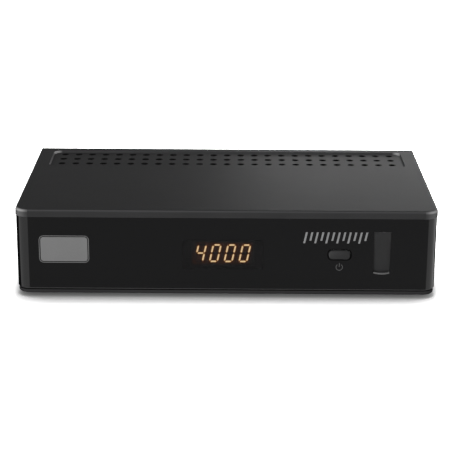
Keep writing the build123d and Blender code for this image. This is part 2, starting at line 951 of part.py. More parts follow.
with BuildPart() as f_connector:
    with BuildSketch(upright(tuner_rear_y)):
        with Locations((tuner_x, f_z)):
            Circle(f_shoulder_radius)
    extrude(amount=-tuner_plate_gap)
    with BuildSketch(upright(plate_inner_y)):
        with Locations((tuner_x, f_z)):
            Circle(f_neck_radius)
    extrude(amount=-(nut_outer_y - plate_inner_y))
    with BuildSketch(upright(nut_outer_y)):
        with Locations((tuner_x, f_z)):
            Circle(f_radius)
    extrude(amount=-(f_tip_y - nut_outer_y))
    with BuildSketch(upright(tuner_rear_y)):
        with Locations((tuner_x, f_z)):
            Circle(f_bore_radius)
    extrude(amount=-(f_tip_y - tuner_rear_y), mode=Mode.SUBTRACT)
write(f_connector, "f_connector")

with BuildPart() as f_insert:
    with BuildSketch(upright(tuner_rear_y - tuner_sheet)):
        with Locations((tuner_x, f_z)):
            Circle(f_bore_radius)
            Circle(f_contact_radius, mode=Mode.SUBTRACT)
    extrude(amount=-(f_tip_y - f_insert_sunk - tuner_rear_y + tuner_sheet))
write(f_insert, "f_insert")

with BuildPart() as f_washer:
    with BuildSketch(upright(plate_outer_y)):
        with Locations((tuner_x, f_z)):
            Circle(washer_radius)
            Circle(f_neck_radius + screw_fit, mode=Mode.SUBTRACT)
    extrude(amount=-washer_thickness)
write(f_washer, "f_washer")

with BuildPart() as f_nut:
    with BuildSketch(upright(plate_outer_y + washer_thickness)):
        with Locations((tuner_x, f_z)):
            RegularPolygon(nut_flats / 2, 6, major_radius=False)
            Circle(f_neck_radius + screw_fit, mode=Mode.SUBTRACT)
    extrude(amount=-nut_thickness)
write(f_nut, "f_nut")

# ---- USB socket ----
with BuildPart() as usb_shell:
    with BuildSketch(upright(mouth_y)):
        standing_at(usb_x, board_top_z, usb_width, usb_height)
        with Locations((usb_x, board_top_z + usb_height / 2)):
            Rectangle(usb_width - 2 * usb_sheet, usb_height - 2 * usb_sheet, mode=Mode.SUBTRACT)
    extrude(amount=usb_length)
write(usb_shell, "usb_shell")

with BuildPart() as usb_insert:
    with BuildSketch(upright(mouth_y - usb_length)):
        with Locations((usb_x, board_top_z + usb_height / 2)):
            Rectangle(usb_width - 2 * usb_sheet, usb_height - 2 * usb_sheet)
    extrude(amount=-(usb_length - usb_tongue_length - usb_tongue_sunk))
    with BuildSketch(upright(mouth_y - usb_length)):
        standing_at(usb_x, board_top_z + usb_tongue_lift, usb_tongue_width, usb_tongue_thickness)
    extrude(amount=-(usb_length - usb_tongue_sunk))
write(usb_insert, "usb_insert")

# ---- Network socket: shield round a black housing ----
with BuildPart() as lan_shell:
    with BuildSketch(upright(mouth_y)):
        standing_at(lan_x, board_top_z, lan_width, lan_height)
        with Locations((lan_x, board_top_z + lan_height / 2)):
            Rectangle(lan_width - 2 * lan_sheet, lan_height - 2 * lan_sheet, mode=Mode.SUBTRACT)
    extrude(amount=lan_length)
write(lan_shell, "lan_shell")

with BuildPart() as lan_insert:
    with BuildSketch(upright(mouth_y)):
        with Locations((lan_x, board_top_z + lan_height / 2)):
            Rectangle(lan_width - 2 * lan_sheet, lan_height - 2 * lan_sheet)
    extrude(amount=lan_length)
    with BuildSketch(upright(mouth_y)):
        standing_at(lan_x, board_top_z + lan_mouth_sill, lan_latch_width, lan_latch_height)
        standing_at(
            lan_x,
            board_top_z + lan_mouth_sill + lan_latch_height,
            lan_mouth_width,
            lan_mouth_height,
        )
    extrude(amount=lan_mouth_depth, mode=Mode.SUBTRACT)
write(lan_insert, "lan_insert")

# ---- Video socket: shell with its two lower corners drawn in ----


def hdmi_outline(inset):
    """Draws the video socket's mouth, moved in by inset."""
    half = hdmi_width / 2 - inset
    low = board_top_z + inset
    high = board_top_z + hdmi_height - inset
    shoulder = board_top_z + hdmi_taper
    Polygon(
        (hdmi_x - half, high),
        (hdmi_x - half, shoulder),
        (hdmi_x - half + hdmi_taper - inset, low),
        (hdmi_x + half - hdmi_taper + inset, low),
        (hdmi_x + half, shoulder),
        (hdmi_x + half, high),
        align=None,
    )


with BuildPart() as hdmi_shell:
    with BuildSketch(upright(mouth_y)):
        hdmi_outline(0)
        with BuildSketch(mode=Mode.SUBTRACT):
            hdmi_outline(hdmi_sheet)
    extrude(amount=hdmi_length)
write(hdmi_shell, "hdmi_shell")

with BuildPart() as hdmi_insert:
    with BuildSketch(upright(mouth_y - hdmi_length)):
        hdmi_outline(hdmi_sheet)
    extrude(amount=-(hdmi_length - hdmi_tongue_length - hdmi_tongue_sunk))
    with BuildSketch(upright(mouth_y - hdmi_length)):
        standing_at(hdmi_x, board_top_z + hdmi_tongue_lift, hdmi_tongue_width, hdmi_tongue_thickness)
    extrude(amount=-(hdmi_length - hdmi_tongue_sunk))
write(hdmi_insert, "hdmi_insert")

# ---- Digital audio socket ----
with BuildPart() as audio_body:
    with BuildSketch(upright(plate_inner_y)):
        standing_at(audio_x, board_top_z, audio_body_width, audio_body_height)
    extrude(amount=audio_body_length)
write(audio_body, "audio_body")

with BuildPart() as audio_barrel:
    with BuildSketch(upright(plate_inner_y)):
        with Locations((audio_x, audio_z)):
            Circle(audio_barrel_radius + audio_collar)
    extrude(amount=-plate_thickness)
    with BuildSketch(upright(plate_outer_y)):
        with Locations((audio_x, audio_z)):
            Circle(audio_barrel_radius)
    extrude(amount=-audio_barrel_length)
    with BuildSketch(upright(plate_inner_y)):
        with Locations((audio_x, audio_z)):
            Circle(audio_barrel_bore)
    extrude(amount=-(plate_thickness + audio_barrel_length), mode=Mode.SUBTRACT)
write(audio_barrel, "audio_barrel")

with BuildPart() as audio_core:
    with BuildSketch(upright(plate_inner_y)):
        with Locations((audio_x, audio_z)):
            Circle(audio_barrel_bore)
            Circle(audio_contact_radius, mode=Mode.SUBTRACT)
    extrude(amount=-(plate_thickness + audio_barrel_length - f_insert_sunk))
write(audio_core, "audio_core")

# ---- Analogue picture and sound jack ----
with BuildPart() as av_jack:
    with BuildSketch(upright(plate_inner_y - fit_gap)):
        standing_at(av_x, board_top_z, av_width, av_height)
    extrude(amount=av_length)
    with BuildSketch(upright(plate_inner_y - fit_gap)):
        with Locations((av_x, av_z)):
            Circle(av_bush_radius)
    extrude(amount=-(plate_thickness + fit_gap + av_bush_proud))
    with BuildSketch(upright(plate_outer_y + av_bush_proud)):
        with Locations((av_x, av_z)):
            Circle(av_bore_radius)
    extrude(amount=av_length, mode=Mode.SUBTRACT)
write(av_jack, "av_jack")

# ---- Power inlet: low-voltage jack with its centre pin ----
with BuildPart() as dc_jack:
    with BuildSketch(upright(mouth_y)):
        standing_at(dc_x, board_top_z, dc_width, dc_height)
    extrude(amount=dc_length)
    with BuildSketch(upright(mouth_y)):
        with Locations((dc_x, dc_z)):
            Circle(dc_bore_radius)
    extrude(amount=dc_bore_depth, mode=Mode.SUBTRACT)
write(dc_jack, "dc_jack")

with BuildPart() as dc_pin:
    with BuildSketch(upright(mouth_y - dc_bore_depth)):
        with Locations((dc_x, dc_z)):
            Circle(dc_pin_radius)
    extrude(amount=-(dc_bore_depth - dc_pin_sunk))
    chamfer(dc_pin.faces().sort_by(Axis.Y)[-1].edges(), dc_pin_tip)
write(dc_pin, "dc_pin")

# ---- Rear plate, with a cut-out round each socket ----
with BuildPart() as rear_panel:
    with BuildSketch(upright(plate_outer_y)):
        standing_at(0, base_top_z, 2 * rim_x, ceiling_z - fit_gap - base_top_z)
        with BuildSketch(mode=Mode.SUBTRACT):
            for x, width, height in (
                (usb_x, usb_width, usb_height),
                (lan_x, lan_width, lan_height),
                (dc_x, dc_width, dc_height),
            ):
                with Locations((x, board_top_z - cutout_gap)):
                    Rectangle(
                        width + 2 * cutout_gap,
                        height + 2 * cutout_gap,
                        align=(Align.CENTER, Align.MIN),
                    )
            hdmi_outline(-cutout_gap)
            with Locations((tuner_x, f_z)):
                Circle(f_radius + cutout_gap)
            with Locations((audio_x, audio_z)):
                Circle(audio_barrel_radius + audio_collar + cutout_gap)
            with Locations((av_x, av_z)):
                Circle(av_bush_radius + cutout_gap)
    extrude(amount=plate_thickness)
write(rear_panel, "rear_panel")

# ---- Card reader: flat channel that opens at the right wall ----
reader_width = card_width + 2 * card_play + 2 * reader_rail
reader_roof_z = card_z + card_gap

with BuildPart() as card_reader:
    with BuildSketch(Plane.XY.offset(board_top_z)):
        with Locations((reader_mouth_x, front_y + card_y)):
            Rectangle(card_depth + reader_rail, reader_width, align=(Align.MAX, Align.CENTER))
    extrude(amount=reader_roof_z + reader_sheet - board_top_z)
    with BuildSketch(Plane.XY.offset(card_z)):
        with Locations((reader_mouth_x, front_y + card_y)):
            Rectangle(card_depth, card_width + 2 * card_play, align=(Align.MAX, Align.CENTER))
    extrude(amount=card_gap, mode=Mode.SUBTRACT)
    # Window in the roof over the contacts.
    with BuildSketch(Plane.XY.offset(reader_roof_z)):
        with Locations((reader_mouth_x - reader_window_inset, front_y + card_y)):
            RectangleRounded(reader_window_length, reader_window_width, reader_rail)
    extrude(amount=reader_sheet, mode=Mode.SUBTRACT)
write(card_reader, "card_reader")

with BuildPart() as card_contacts:
    with BuildSketch(Plane.XY.offset(card_z)):
        with Locations((reader_mouth_x - card_contact_inset, front_y + card_y)):
            with GridLocations(card_contact_gap, card_contact_pitch, 2, card_contact_count):
                Rectangle(2 * pin_size, pin_size)
    extrude(amount=card_play)
write(card_contacts, "card_contacts")

# ---- Processor under its pad and heat sink ----
with BuildPart() as processor:
    with BuildSketch(Plane.XY.offset(board_top_z)):
        with Locations((chip_x, front_y + chip_y)):
            Rectangle(chip_size, chip_size)
    extrude(amount=chip_thickness)
    chamfer(processor.edges().filter_by(Axis.Z), chip_corner)
write(processor, "processor")

with BuildPart() as thermal_pad:
    with BuildSketch(Plane.XY.offset(board_top_z + chip_thickness)):
        with Locations((chip_x, front_y + chip_y)):
            Rectangle(pad_size, pad_size)
    extrude(amount=pad_thickness)
write(thermal_pad, "thermal_pad")

with BuildPart() as heat_sink:
    with BuildSketch(Plane.XY.offset(board_top_z + chip_thickness + pad_thickness)):
        with Locations((chip_x, front_y + chip_y)):
            Rectangle(sink_size, sink_size)
    extrude(amount=sink_base)
    with BuildSketch(heat_sink.faces().sort_by(Axis.Z)[-1]):
        with GridLocations(1, (sink_size - sink_fin_thickness) / (sink_fins - 1), 1, sink_fins):
            Rectangle(sink_size, sink_fin_thickness)
    extrude(amount=sink_height - sink_base)
write(heat_sink, "heat_sink")

with BuildPart() as memory_chip:
    with BuildSketch(Plane.XY.offset(board_top_z)):
        with Locations((memory_x, front_y + memory_y)):
            Rectangle(memory_width, memory_length)
    extrude(amount=memory_thickness)
write(memory_chip, "memory_chip")

with BuildPart() as flash_chip:
    with BuildSketch(Plane.XY.offset(board_top_z)):
        with Locations((flash_x, front_y + flash_y)):
            Rectangle(flash_size, flash_size)
    extrude(amount=flash_thickness)
write(flash_chip, "flash_chip")

with BuildPart() as demodulator:
    with BuildSketch(Plane.XY.offset(board_top_z)):
        with Locations((tuner_x, tuner_rear_y - tuner_length - demod_gap - demod_size / 2)):
            Rectangle(demod_size, demod_size)
    extrude(amount=demod_thickness)
    chamfer(demodulator.edges().filter_by(Axis.Z), chip_corner)
write(demodulator, "demodulator")

with BuildPart() as crystal:
    with BuildSketch(Plane.XY.offset(board_top_z)):
        with Locations((crystal_x, front_y + chip_y)):
            SlotOverall(crystal_length, crystal_width, rotation=90)
    extrude(amount=crystal_height)
write(crystal, "crystal")

with BuildPart() as lan_transformer:
    with BuildSketch(Plane.XY.offset(board_top_z)):
        with Locations((lan_x, mouth_y - lan_length - transformer_gap)):
            Rectangle(transformer_width, transformer_length, align=(Align.CENTER, Align.MAX))
    extrude(amount=transformer_height)
write(lan_transformer, "lan_transformer")

with BuildPart() as capacitors:
    for places, radius, height in (
        (small_cap_places, small_cap_radius, small_cap_height),
        (large_cap_places, large_cap_radius, large_cap_height),
    ):
        with BuildSketch(Plane.XY.offset(board_top_z)):
            with Locations(*[(x, front_y + back) for x, back in places]):
                Circle(radius)
        extrude(amount=height)
    tops = capacitors.faces().filter_by(lambda face: face.normal_at().Z > 0.9)
    chamfer(tops.edges(), cap_collar)
write(capacitors, "capacitors")

with BuildPart() as inductors:
    with BuildSketch(Plane.XY.offset(board_top_z)):
        with Locations(*[(x, front_y + back) for x, back in coil_places]):
            RectangleRounded(coil_size, coil_size, coil_corner)
    extrude(amount=coil_height)
    with BuildSketch(Plane.XY.offset(board_top_z + coil_height)):
        with Locations(*[(x, front_y + back) for x, back in coil_places]):
            Circle(coil_core_radius)
    extrude(amount=-coil_well, mode=Mode.SUBTRACT)
write(inductors, "inductors")
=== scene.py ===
import math

import bmesh
import bpy
from mathutils import Matrix, Vector


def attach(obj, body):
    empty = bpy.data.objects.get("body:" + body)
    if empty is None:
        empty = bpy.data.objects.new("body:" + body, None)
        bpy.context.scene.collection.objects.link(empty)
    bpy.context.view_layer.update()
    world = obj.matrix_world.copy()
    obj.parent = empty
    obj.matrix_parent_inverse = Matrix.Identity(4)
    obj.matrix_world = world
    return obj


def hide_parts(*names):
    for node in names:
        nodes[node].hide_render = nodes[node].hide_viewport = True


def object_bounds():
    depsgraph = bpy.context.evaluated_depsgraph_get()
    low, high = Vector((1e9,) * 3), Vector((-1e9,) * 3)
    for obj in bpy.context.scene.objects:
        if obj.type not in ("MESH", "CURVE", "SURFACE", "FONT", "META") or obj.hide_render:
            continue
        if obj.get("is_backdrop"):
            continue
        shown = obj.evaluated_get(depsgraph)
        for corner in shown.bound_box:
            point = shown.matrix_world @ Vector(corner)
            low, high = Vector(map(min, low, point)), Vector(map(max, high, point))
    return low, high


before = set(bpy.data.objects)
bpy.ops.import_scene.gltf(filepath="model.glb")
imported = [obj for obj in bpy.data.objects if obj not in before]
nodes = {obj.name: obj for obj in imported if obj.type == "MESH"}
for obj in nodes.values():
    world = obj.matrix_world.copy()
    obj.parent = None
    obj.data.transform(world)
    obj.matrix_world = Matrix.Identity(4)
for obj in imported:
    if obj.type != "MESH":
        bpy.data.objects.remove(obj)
bpy.context.view_layer.update()
cad_low, cad_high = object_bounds()


# ---- Bottom case ----
# The tray that everything stands in: one moulding in dark grey ABS with a fine spark-eroded
# grain, from the same tool maker as the cover. It shows as a thin band under the front panel.


class Shade:
    """A value on its way through a finish: sums on it add Math nodes to the material."""

    def __init__(self, tree, socket):
        self.tree = tree
        self.socket = socket

    def math(self, operation, *others):
        """Adds one Math node that works on this value and the others."""
        node = self.tree.nodes.new("ShaderNodeMath")
        node.operation = operation
        for entry, value in zip(node.inputs, (self, *others)):
            if isinstance(value, Shade):
                self.tree.links.new(value.socket, entry)
            else:
                entry.default_value = value
        return Shade(self.tree, node.outputs[0])

    def __add__(self, other):
        return self.math("ADD", other)

    def __sub__(self, other):
        return self.math("SUBTRACT", other)

    def __mul__(self, other):
        return self.math("MULTIPLY", other)

    def __truediv__(self, other):
        return self.math("DIVIDE", other)

    def __rsub__(self, other):
        return self * -1.0 + other

    def __lt__(self, other):
        return self.math("LESS_THAN", other)

    def __gt__(self, other):
        return self.math("GREATER_THAN", other)

    __radd__ = __add__
    __rmul__ = __mul__


class Finish:
    """A material of the receiver, with one way to add any further node to it."""

    def __init__(self, name, inputs):
        self.material = bpy.data.materials.new(name)
        self.material.use_nodes = True
        self.tree = self.material.node_tree
        self.surface = self.tree.nodes["Principled BSDF"]
        self.fill(self.surface, inputs)

    def fill(self, node, inputs):
        """Sets or links sockets of a node by name."""
        for name, value in inputs.items():
            if isinstance(value, Shade):
                self.tree.links.new(value.socket, node.inputs[name])
            else:
                node.inputs[name].default_value = value

    def add(self, kind, settings, inputs, output=0):
        """Adds a node with its settings, then its sockets, and hands on one output."""
        node = self.tree.nodes.new(kind)
        for name, value in settings.items():
            if name == "stops":
                ramp = node.color_ramp.elements
                for place, colour in value[2:]:
                    ramp.new(place)
                for element, (place, colour) in zip(ramp, value):
                    element.position = place
                    element.color = (*colour, 1.0)
            else:
                setattr(node, name, value)
        self.fill(node, inputs)
        return Shade(self.tree, node.outputs[output])

    def spot(self):
        """Position on the piece in metres."""
        return self.add("ShaderNodeTexCoord", {}, {}, "Object")

    def along(self, vector, axes):
        """The parts of a vector along the named axes."""
        return [self.add("ShaderNodeSeparateXYZ", {}, {"Vector": vector}, axis) for axis in axes]

    def outlook(self, axes):
        """How far the surface looks along the named axes, from -1 to 1."""
        return self.along(self.add("ShaderNodeTexCoord", {}, {}, "Normal"), axes)

    def noise(self, size, detail=2.0, stretch=(1.0, 1.0, 1.0)):
        """Soft random pattern from 0 to 1 whose features are about size metres across."""
        place = self.add("ShaderNodeMapping", {}, {"Vector": self.spot(), "Scale": stretch})
        inputs = {"Vector": place, "Scale": 1.0 / size, "Detail": detail}
        return self.add("ShaderNodeTexNoise", {}, inputs)

    def mix(self, share, first, second):
        """Colour between first and second."""
        inputs = {0: share, 6: first, 7: second}
        return self.add("ShaderNodeMix", {"data_type": "RGBA"}, inputs, 2)

    def colour(self):
        """The base colour as it stands."""
        return Shade(self.tree, self.surface.inputs["Base Color"].links[0].from_socket)

    def emboss(self, height, depth):
        """Raises the surface by depth metres where height goes from 0 to 1."""
        inputs = {"Height": height, "Distance": depth, "Strength": 1.0}
        self.fill(self.surface, {"Normal": self.add("ShaderNodeBump", {}, inputs)})


def dress(finish, *names):
    """Gives CAD nodes a finish."""
    for name in names:
        nodes[name].material_slots[0].material = finish.material


def moulded(name, colour, roughness, level, grain=0.00035, depth=0.00002, edges=0.0):
    """Moulded plastic: grain of the tool's surface, uneven tone, and painted highlights on edges.
    """
    finish = Finish(name, {"Specular IOR Level": level, "IOR": 1.5})
    tone = finish.noise(0.02, 3.0)
    pits = finish.noise(grain, 3.0)
    light = tuple(1.25 * c for c in colour)
    dark = tuple(0.8 * c for c in colour)
    blend = finish.mix(tone * 0.6 + pits * 0.4, (*dark, 1.0), (*light, 1.0))
    # Rounded edges, whose faces look between the main directions, are painted paler: a painted
    # highlight.
    if edges:
        sides = [side.math("ABSOLUTE") for side in finish.outlook("XYZ")]
        flat = sides[0].math("MAXIMUM", sides[1]).math("MAXIMUM", sides[2])
        painted_edge_highlight = tuple(3.0 * c for c in colour)
        blend = finish.mix((1 - flat) * edges, blend, (*painted_edge_highlight, 1.0))
    uneven = tone * 0.08 + (roughness - 0.04)
    finish.fill(finish.surface, {"Base Color": blend, "Roughness": uneven})
    finish.emboss(pits, depth)
    return finish


base_plastic = moulded("base_plastic", (0.022, 0.022, 0.0225), 0.5, 0.004)
# Faces that look straight up, such as those in the shadow line under the panel, are painted near
# black as painted shade.
(rising,) = base_plastic.outlook("Z")
with_painted_shade = base_plastic.mix(rising > 0.9, base_plastic.colour(), (0.003, 0.003, 0.003, 1))
base_plastic.fill(base_plastic.surface, {"Base Color": with_painted_shade})
dress(base_plastic, "bottom_case")


# ---- Feet ----
# Four soft pads of moulded rubber, glued into shallow rings of the base. They hold its air
# slots clear of the table.

foot_rubber = moulded("foot_rubber", (0.02, 0.02, 0.02), 0.85, 0.2, 0.0006, 0.00005)
dress(foot_rubber, "feet")


# ---- Screws ----
# Zinc-plated pan heads with cross recesses: four long ones from below join the casing, four
# short ones hold the main board and three the front board.

mm = 0.001
upward = Matrix.Identity(4)
to_rear = Matrix.Rotation(-math.pi / 2, 4, "X")
to_front = Matrix.Rotation(math.pi / 2, 4, "X")
to_floor = Matrix.Rotation(math.pi, 4, "X")


def metal(name, colour, roughness, streak=(1.0, 1.0, 1.0), size=0.0009, depth=0.000004):
    """Bare or plated metal with the faint marks of rolling or turning."""
    finish = Finish(name, {"Metallic": 1.0})
    marks = finish.noise(size, 4.0, streak)
    cloud = finish.noise(0.006, 2.0)
    dark = tuple(0.86 * c for c in colour)
    blend = finish.mix(marks * 0.5 + cloud * 0.5, (*dark, 1.0), (*colour, 1.0))
    uneven = cloud * 0.16 + (roughness - 0.08)
    finish.fill(finish.surface, {"Base Color": blend, "Roughness": uneven})
    finish.emboss(marks, depth)
    return finish


def piece(name, form, finish, slot, *stands_for, body="casing"):
    """Makes a finished shape one piece of a body, in place of the nodes it stands for."""
    bmesh.ops.recalc_face_normals(form, faces=form.faces)
    mesh = bpy.data.meshes.new(name)
    form.to_mesh(mesh)
    form.free()
    mesh.shade_smooth()
    mesh.set_sharp_from_angle(angle=math.radians(35))
    mesh.materials.append(finish.material)
    made = bpy.data.objects.new(name, mesh)
    bpy.context.scene.collection.objects.link(made)
    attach(made, body)
    if stands_for:
        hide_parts(*stands_for)


def open_edges(grown):
    """The new outer edges of what was just extruded."""
    return [e for e in grown["geom"] if isinstance(e, bmesh.types.BMEdge) and e.is_boundary]


def set_down(form, old, place, facing):
    """Turns what is new since old to its facing and moves it to its place in millimetres."""
    fresh = [vert for vert in form.verts if vert not in old]
    bmesh.ops.transform(
        form, matrix=Matrix.Translation(mm * Vector(place)) @ facing, verts=fresh
    )


def add_screw(form, place, facing, sizes):
    """Adds a screw, its crown at place, by the radius and height of head, shank and length."""
    head, height, shank, length = (mm * size for size in sizes)
    old = set(form.verts)
    crown = 0.72 * head
    ring = bmesh.ops.create_circle(form, segments=24, radius=crown)["verts"]
    rim = list({edge for vert in ring for edge in vert.link_edges})
    arm = 0.5 * head
    slot = 0.13 * head
    corner = [Vector((arm, -slot, 0)), Vector((arm, slot, 0)), Vector((slot, slot, 0))]
    cross = [
        form.verts.new(Matrix.Rotation(quarter * math.pi / 2, 3, "Z") @ spot)
        for quarter in range(4)
        for spot in corner
    ]
    sides = [form.edges.new(pair) for pair in zip(cross, cross[1:] + cross[:1])]
    bmesh.ops.triangle_fill(form, edges=rim + sides, use_beauty=True)
    sunk = open_edges(bmesh.ops.extrude_edge_only(form, edges=sides))
    floor = list({vert for edge in sunk for vert in edge.verts})
    bmesh.ops.scale(form, verts=floor, vec=(0.6, 0.6, 1.0))
    bmesh.ops.translate(form, verts=floor, vec=(0, 0, -0.6 * height))
    bmesh.ops.edgeloop_fill(form, edges=sunk)
    wide = crown
    for radius, drop in (
        (0.93 * head, 0.16 * height),
        (head, 0.24 * height),
        (head, 0.6 * height),
        (shank, 0.0),
        (shank, length - height - shank),
        (0.3 * shank, shank),
    ):
        rim = open_edges(bmesh.ops.extrude_edge_only(form, edges=rim))
        ring = list({vert for edge in rim for vert in edge.verts})
        bmesh.ops.scale(form, verts=ring, vec=(radius / wide, radius / wide, 1.0))
        bmesh.ops.translate(form, verts=ring, vec=(0, 0, -drop))
        wide = radius
    bmesh.ops.edgeloop_fill(form, edges=rim)
    set_down(form, old, place, facing)


screw_steel = metal("screw_steel", (0.6, 0.6, 0.62), 0.3)
in_base = [(x, y, 6.0) for x in (-97.5, 97.5) for y in (-43.0, 41.0)]
in_main_board = [(x, y, 12.5) for x in (-85.5, 85.5) for y in (-45.0, 39.4)]
in_front_board = [(-28.0, -54.8, 16.5), (36.0, -54.8, 34.0), (90.0, -54.8, 16.5)]
for name, places, facing, sizes in (
    ("case_screws", in_base, to_floor, (2.8, 1.8, 1.5, 17.8)),
    ("board_screws", in_main_board, upward, (2.8, 1.8, 1.5, 7.8)),
    ("front_board_screws", in_front_board, to_rear, (2.4, 1.2, 1.2, 7.2)),
):
    screws = bmesh.new()
    for place in places:
        add_screw(screws, place, facing, sizes)
    piece(name + "_turned", screws, screw_steel, "screw_steel", name)


# ---- Main board ----
# Glass-fibre board with green solder mask on four standoffs. The copper tracks show through
# the mask as lighter lines, with tinned rings where vias come up.


def board_finish(name):
    """Green mask over tracks that run one way or the other from block to block."""
    finish = Finish(name, {"IOR": 1.5, "Roughness": 0.32})
    spot = finish.spot()
    blocks = {"Vector": spot, "Scale": 170.0}
    cell = finish.add("ShaderNodeTexVoronoi", {"distance": "CHEBYCHEV"}, blocks, "Color")
    pick = finish.add("ShaderNodeSeparateColor", {}, {"Color": cell})
    east, north = finish.along(spot, "XY")
    across = (pick < 0.5) * east + (pick > 0.5) * north
    lines = (across / 0.0009).math("PINGPONG", 0.5) < 0.2
    bare = finish.noise(0.014, 1.0) > 0.42
    vias = finish.add("ShaderNodeTexVoronoi", {}, {"Vector": spot, "Scale": 260.0})
    ring = (vias < 0.09) * (vias > 0.04)
    mask = finish.mix(lines * bare, (0.006, 0.07, 0.028, 1), (0.015, 0.13, 0.05, 1))
    colour = finish.mix(ring, mask, (0.55, 0.52, 0.45, 1))
    finish.fill(finish.surface, {"Base Color": colour, "Metallic": ring * 0.9})
    finish.emboss(lines * bare, 0.00004)
    return finish


board_green = board_finish("board_green")
dress(board_green, "main_board")


# ---- Cans, sockets and chips ----
# Cans and shells are folded from tinned steel, collars turned and nickel-plated, the heat sink
# extruded in aluminium. Capacitors wear a dark sleeve with a light stripe, and the bodies of
# the chips and sockets are moulded.

tinned_steel = metal("tinned_steel", (0.72, 0.71, 0.68), 0.34, (1.0, 12.0, 12.0))
nickel = metal("nickel", (0.66, 0.63, 0.58), 0.24)
heat_aluminium = metal("heat_aluminium", (0.5, 0.51, 0.53), 0.42, (1.0, 14.0, 14.0))
capacitor_can = Finish("capacitor_can", {})
leftward, rising = capacitor_can.outlook("XZ")
bare_top = rising > 0.5
sleeve = capacitor_can.mix(leftward < -0.9, (0.012, 0.014, 0.03, 1), (0.45, 0.46, 0.48, 1))
brushed = capacitor_can.noise(0.0008, 3.0)
capacitor_can.fill(
    capacitor_can.surface,
    {
        "Base Color": capacitor_can.mix(bare_top, sleeve, (0.75, 0.75, 0.76, 1)),
        "Metallic": bare_top,
        "Roughness": brushed * 0.12 + 0.26,
    },
)
contact_gold = metal("contact_gold", (0.9, 0.66, 0.3), 0.26)
dress(tinned_steel, "tuner_can", "tuner_lid", "usb_shell", "lan_shell", "hdmi_shell", "crystal")
dress(nickel, "f_washer", "f_nut", "audio_barrel", "dc_pin")
dress(heat_aluminium, "heat_sink")
dress(capacitor_can, "capacitors")
dress(contact_gold, "card_contacts")

chip_black = moulded("chip_black", (0.02, 0.02, 0.021), 0.5, 0.4, 0.0003, 0.00001)
socket_black = moulded("socket_black", (0.012, 0.012, 0.012), 0.45, 0.4, 0.0006, 0.00001)
socket_orange = moulded("socket_orange", (0.75, 0.17, 0.02), 0.4, 0.5, 0.0006, 0.00001)
dielectric_white = moulded("dielectric_white", (0.72, 0.71, 0.68), 0.45, 0.5, 0.0006, 0.00001)
ferrite = moulded("ferrite", (0.03, 0.029, 0.03), 0.6, 0.4, 0.0004, 0.00003)
silicone_pad = moulded("silicone_pad", (0.32, 0.34, 0.38), 0.7, 0.3, 0.0006, 0.00002)
dress(chip_black, "processor", "memory_chip", "flash_chip", "demodulator")
dress(chip_black, "lan_transformer", "ir_receiver")
dress(socket_black, "usb_insert", "lan_insert", "hdmi_insert", "audio_body", "av_jack", "dc_jack")
dress(socket_black, "card_reader", "board_header", "key_switch")
dress(socket_orange, "audio_core")
dress(dielectric_white, "f_insert")
dress(ferrite, "inductors")
dress(silicone_pad, "thermal_pad")


# ---- Aerial connector ----
# Nickel-plated brass barrel on the tuner, with the 3/8-32 thread that the dish cable's plug
# screws onto. Its hex nut and washer clamp it to the rear plate.


def add_turned(form, outline, centre, axis, steps=48):
    """Turns an outline of (radius, distance along axis), in millimetres, round the axis."""
    out = Vector(axis).orthogonal().normalized()
    spots = [
        form.verts.new(centre + mm * (out * radius + Vector(axis) * along))
        for radius, along in outline
    ]
    sides = [form.edges.new(pair) for pair in zip(spots, spots[1:])]
    bmesh.ops.spin(
        form,
        geom=spots + sides,
        cent=centre,
        axis=axis,
        dvec=(0, 0, 0),
        angle=2 * math.pi,
        steps=steps,
        use_merge=True,
    )
    bmesh.ops.remove_doubles(form, verts=form.verts, dist=0.000002)


f_axis = mm * Vector((-62.0, 0.0, 17.9))
backward = Vector((0.0, 1.0, 0.0))
barrel = bmesh.new()
barrel_outline = (
    (3.3, 51.4),
    (6.2, 51.4),
    (6.2, 54.4),
    (4.2, 54.4),
    (4.2, 66.5),
    (3.95, 67.0),
    (3.4, 67.0),
    (3.3, 66.9),
    (3.3, 51.4),
)
add_turned(barrel, barrel_outline, f_axis, backward)
thread_pitch = 0.794
thread_turns = 9
thread_steps = 28
tooth = [
    barrel.verts.new(f_axis + mm * Vector((radius, 58.9 + along * thread_pitch, 0.0)))
    for radius, along in ((4.15, 0.0), (4.72, 0.36), (4.72, 0.5), (4.15, 0.86))
]
flank = barrel.faces.new(tooth)
bmesh.ops.spin(
    barrel,
    geom=[flank, *flank.edges, *tooth],
    cent=f_axis,
    axis=backward,
    dvec=backward * mm * thread_pitch / thread_steps,
    angle=2 * math.pi * thread_turns,
    steps=thread_steps * thread_turns,
    use_merge=False,
)
piece("aerial_barrel", barrel, nickel, "nickel", "f_connector")


# ---- Contacts of the sockets ----
# Stamped springs, gilt where they touch and nickel elsewhere: four under the USB tongue, eight
# wires in the network jack, nineteen on the video tongue, and the leaf of the power inlet.


def add_block(form, low, high, rounding, facing=upward):
    """Adds a bar from low to high, in millimetres, with rounded edges, turned by facing."""
    low, high = mm * Vector(low), mm * Vector(high)
    place = facing @ Matrix.Translation((low + high) / 2) @ Matrix.Diagonal((*(high - low), 1.0))
    corners = bmesh.ops.create_cube(form, size=1.0, matrix=place)["verts"]
    bmesh.ops.bevel(
        form,
        geom=list({side for corner in corners for side in corner.link_edges}),
        offset=mm * rounding,
        segments=1,
        profile=0.5,
        affect="EDGES",
        material=-1,
    )


def about(place, turn, axis="X"):
    """A turn about a place in millimetres."""
    place = mm * Vector(place)
    return Matrix.Translation(place) @ Matrix.Rotation(turn, 4, axis) @ Matrix.Translation(-place)


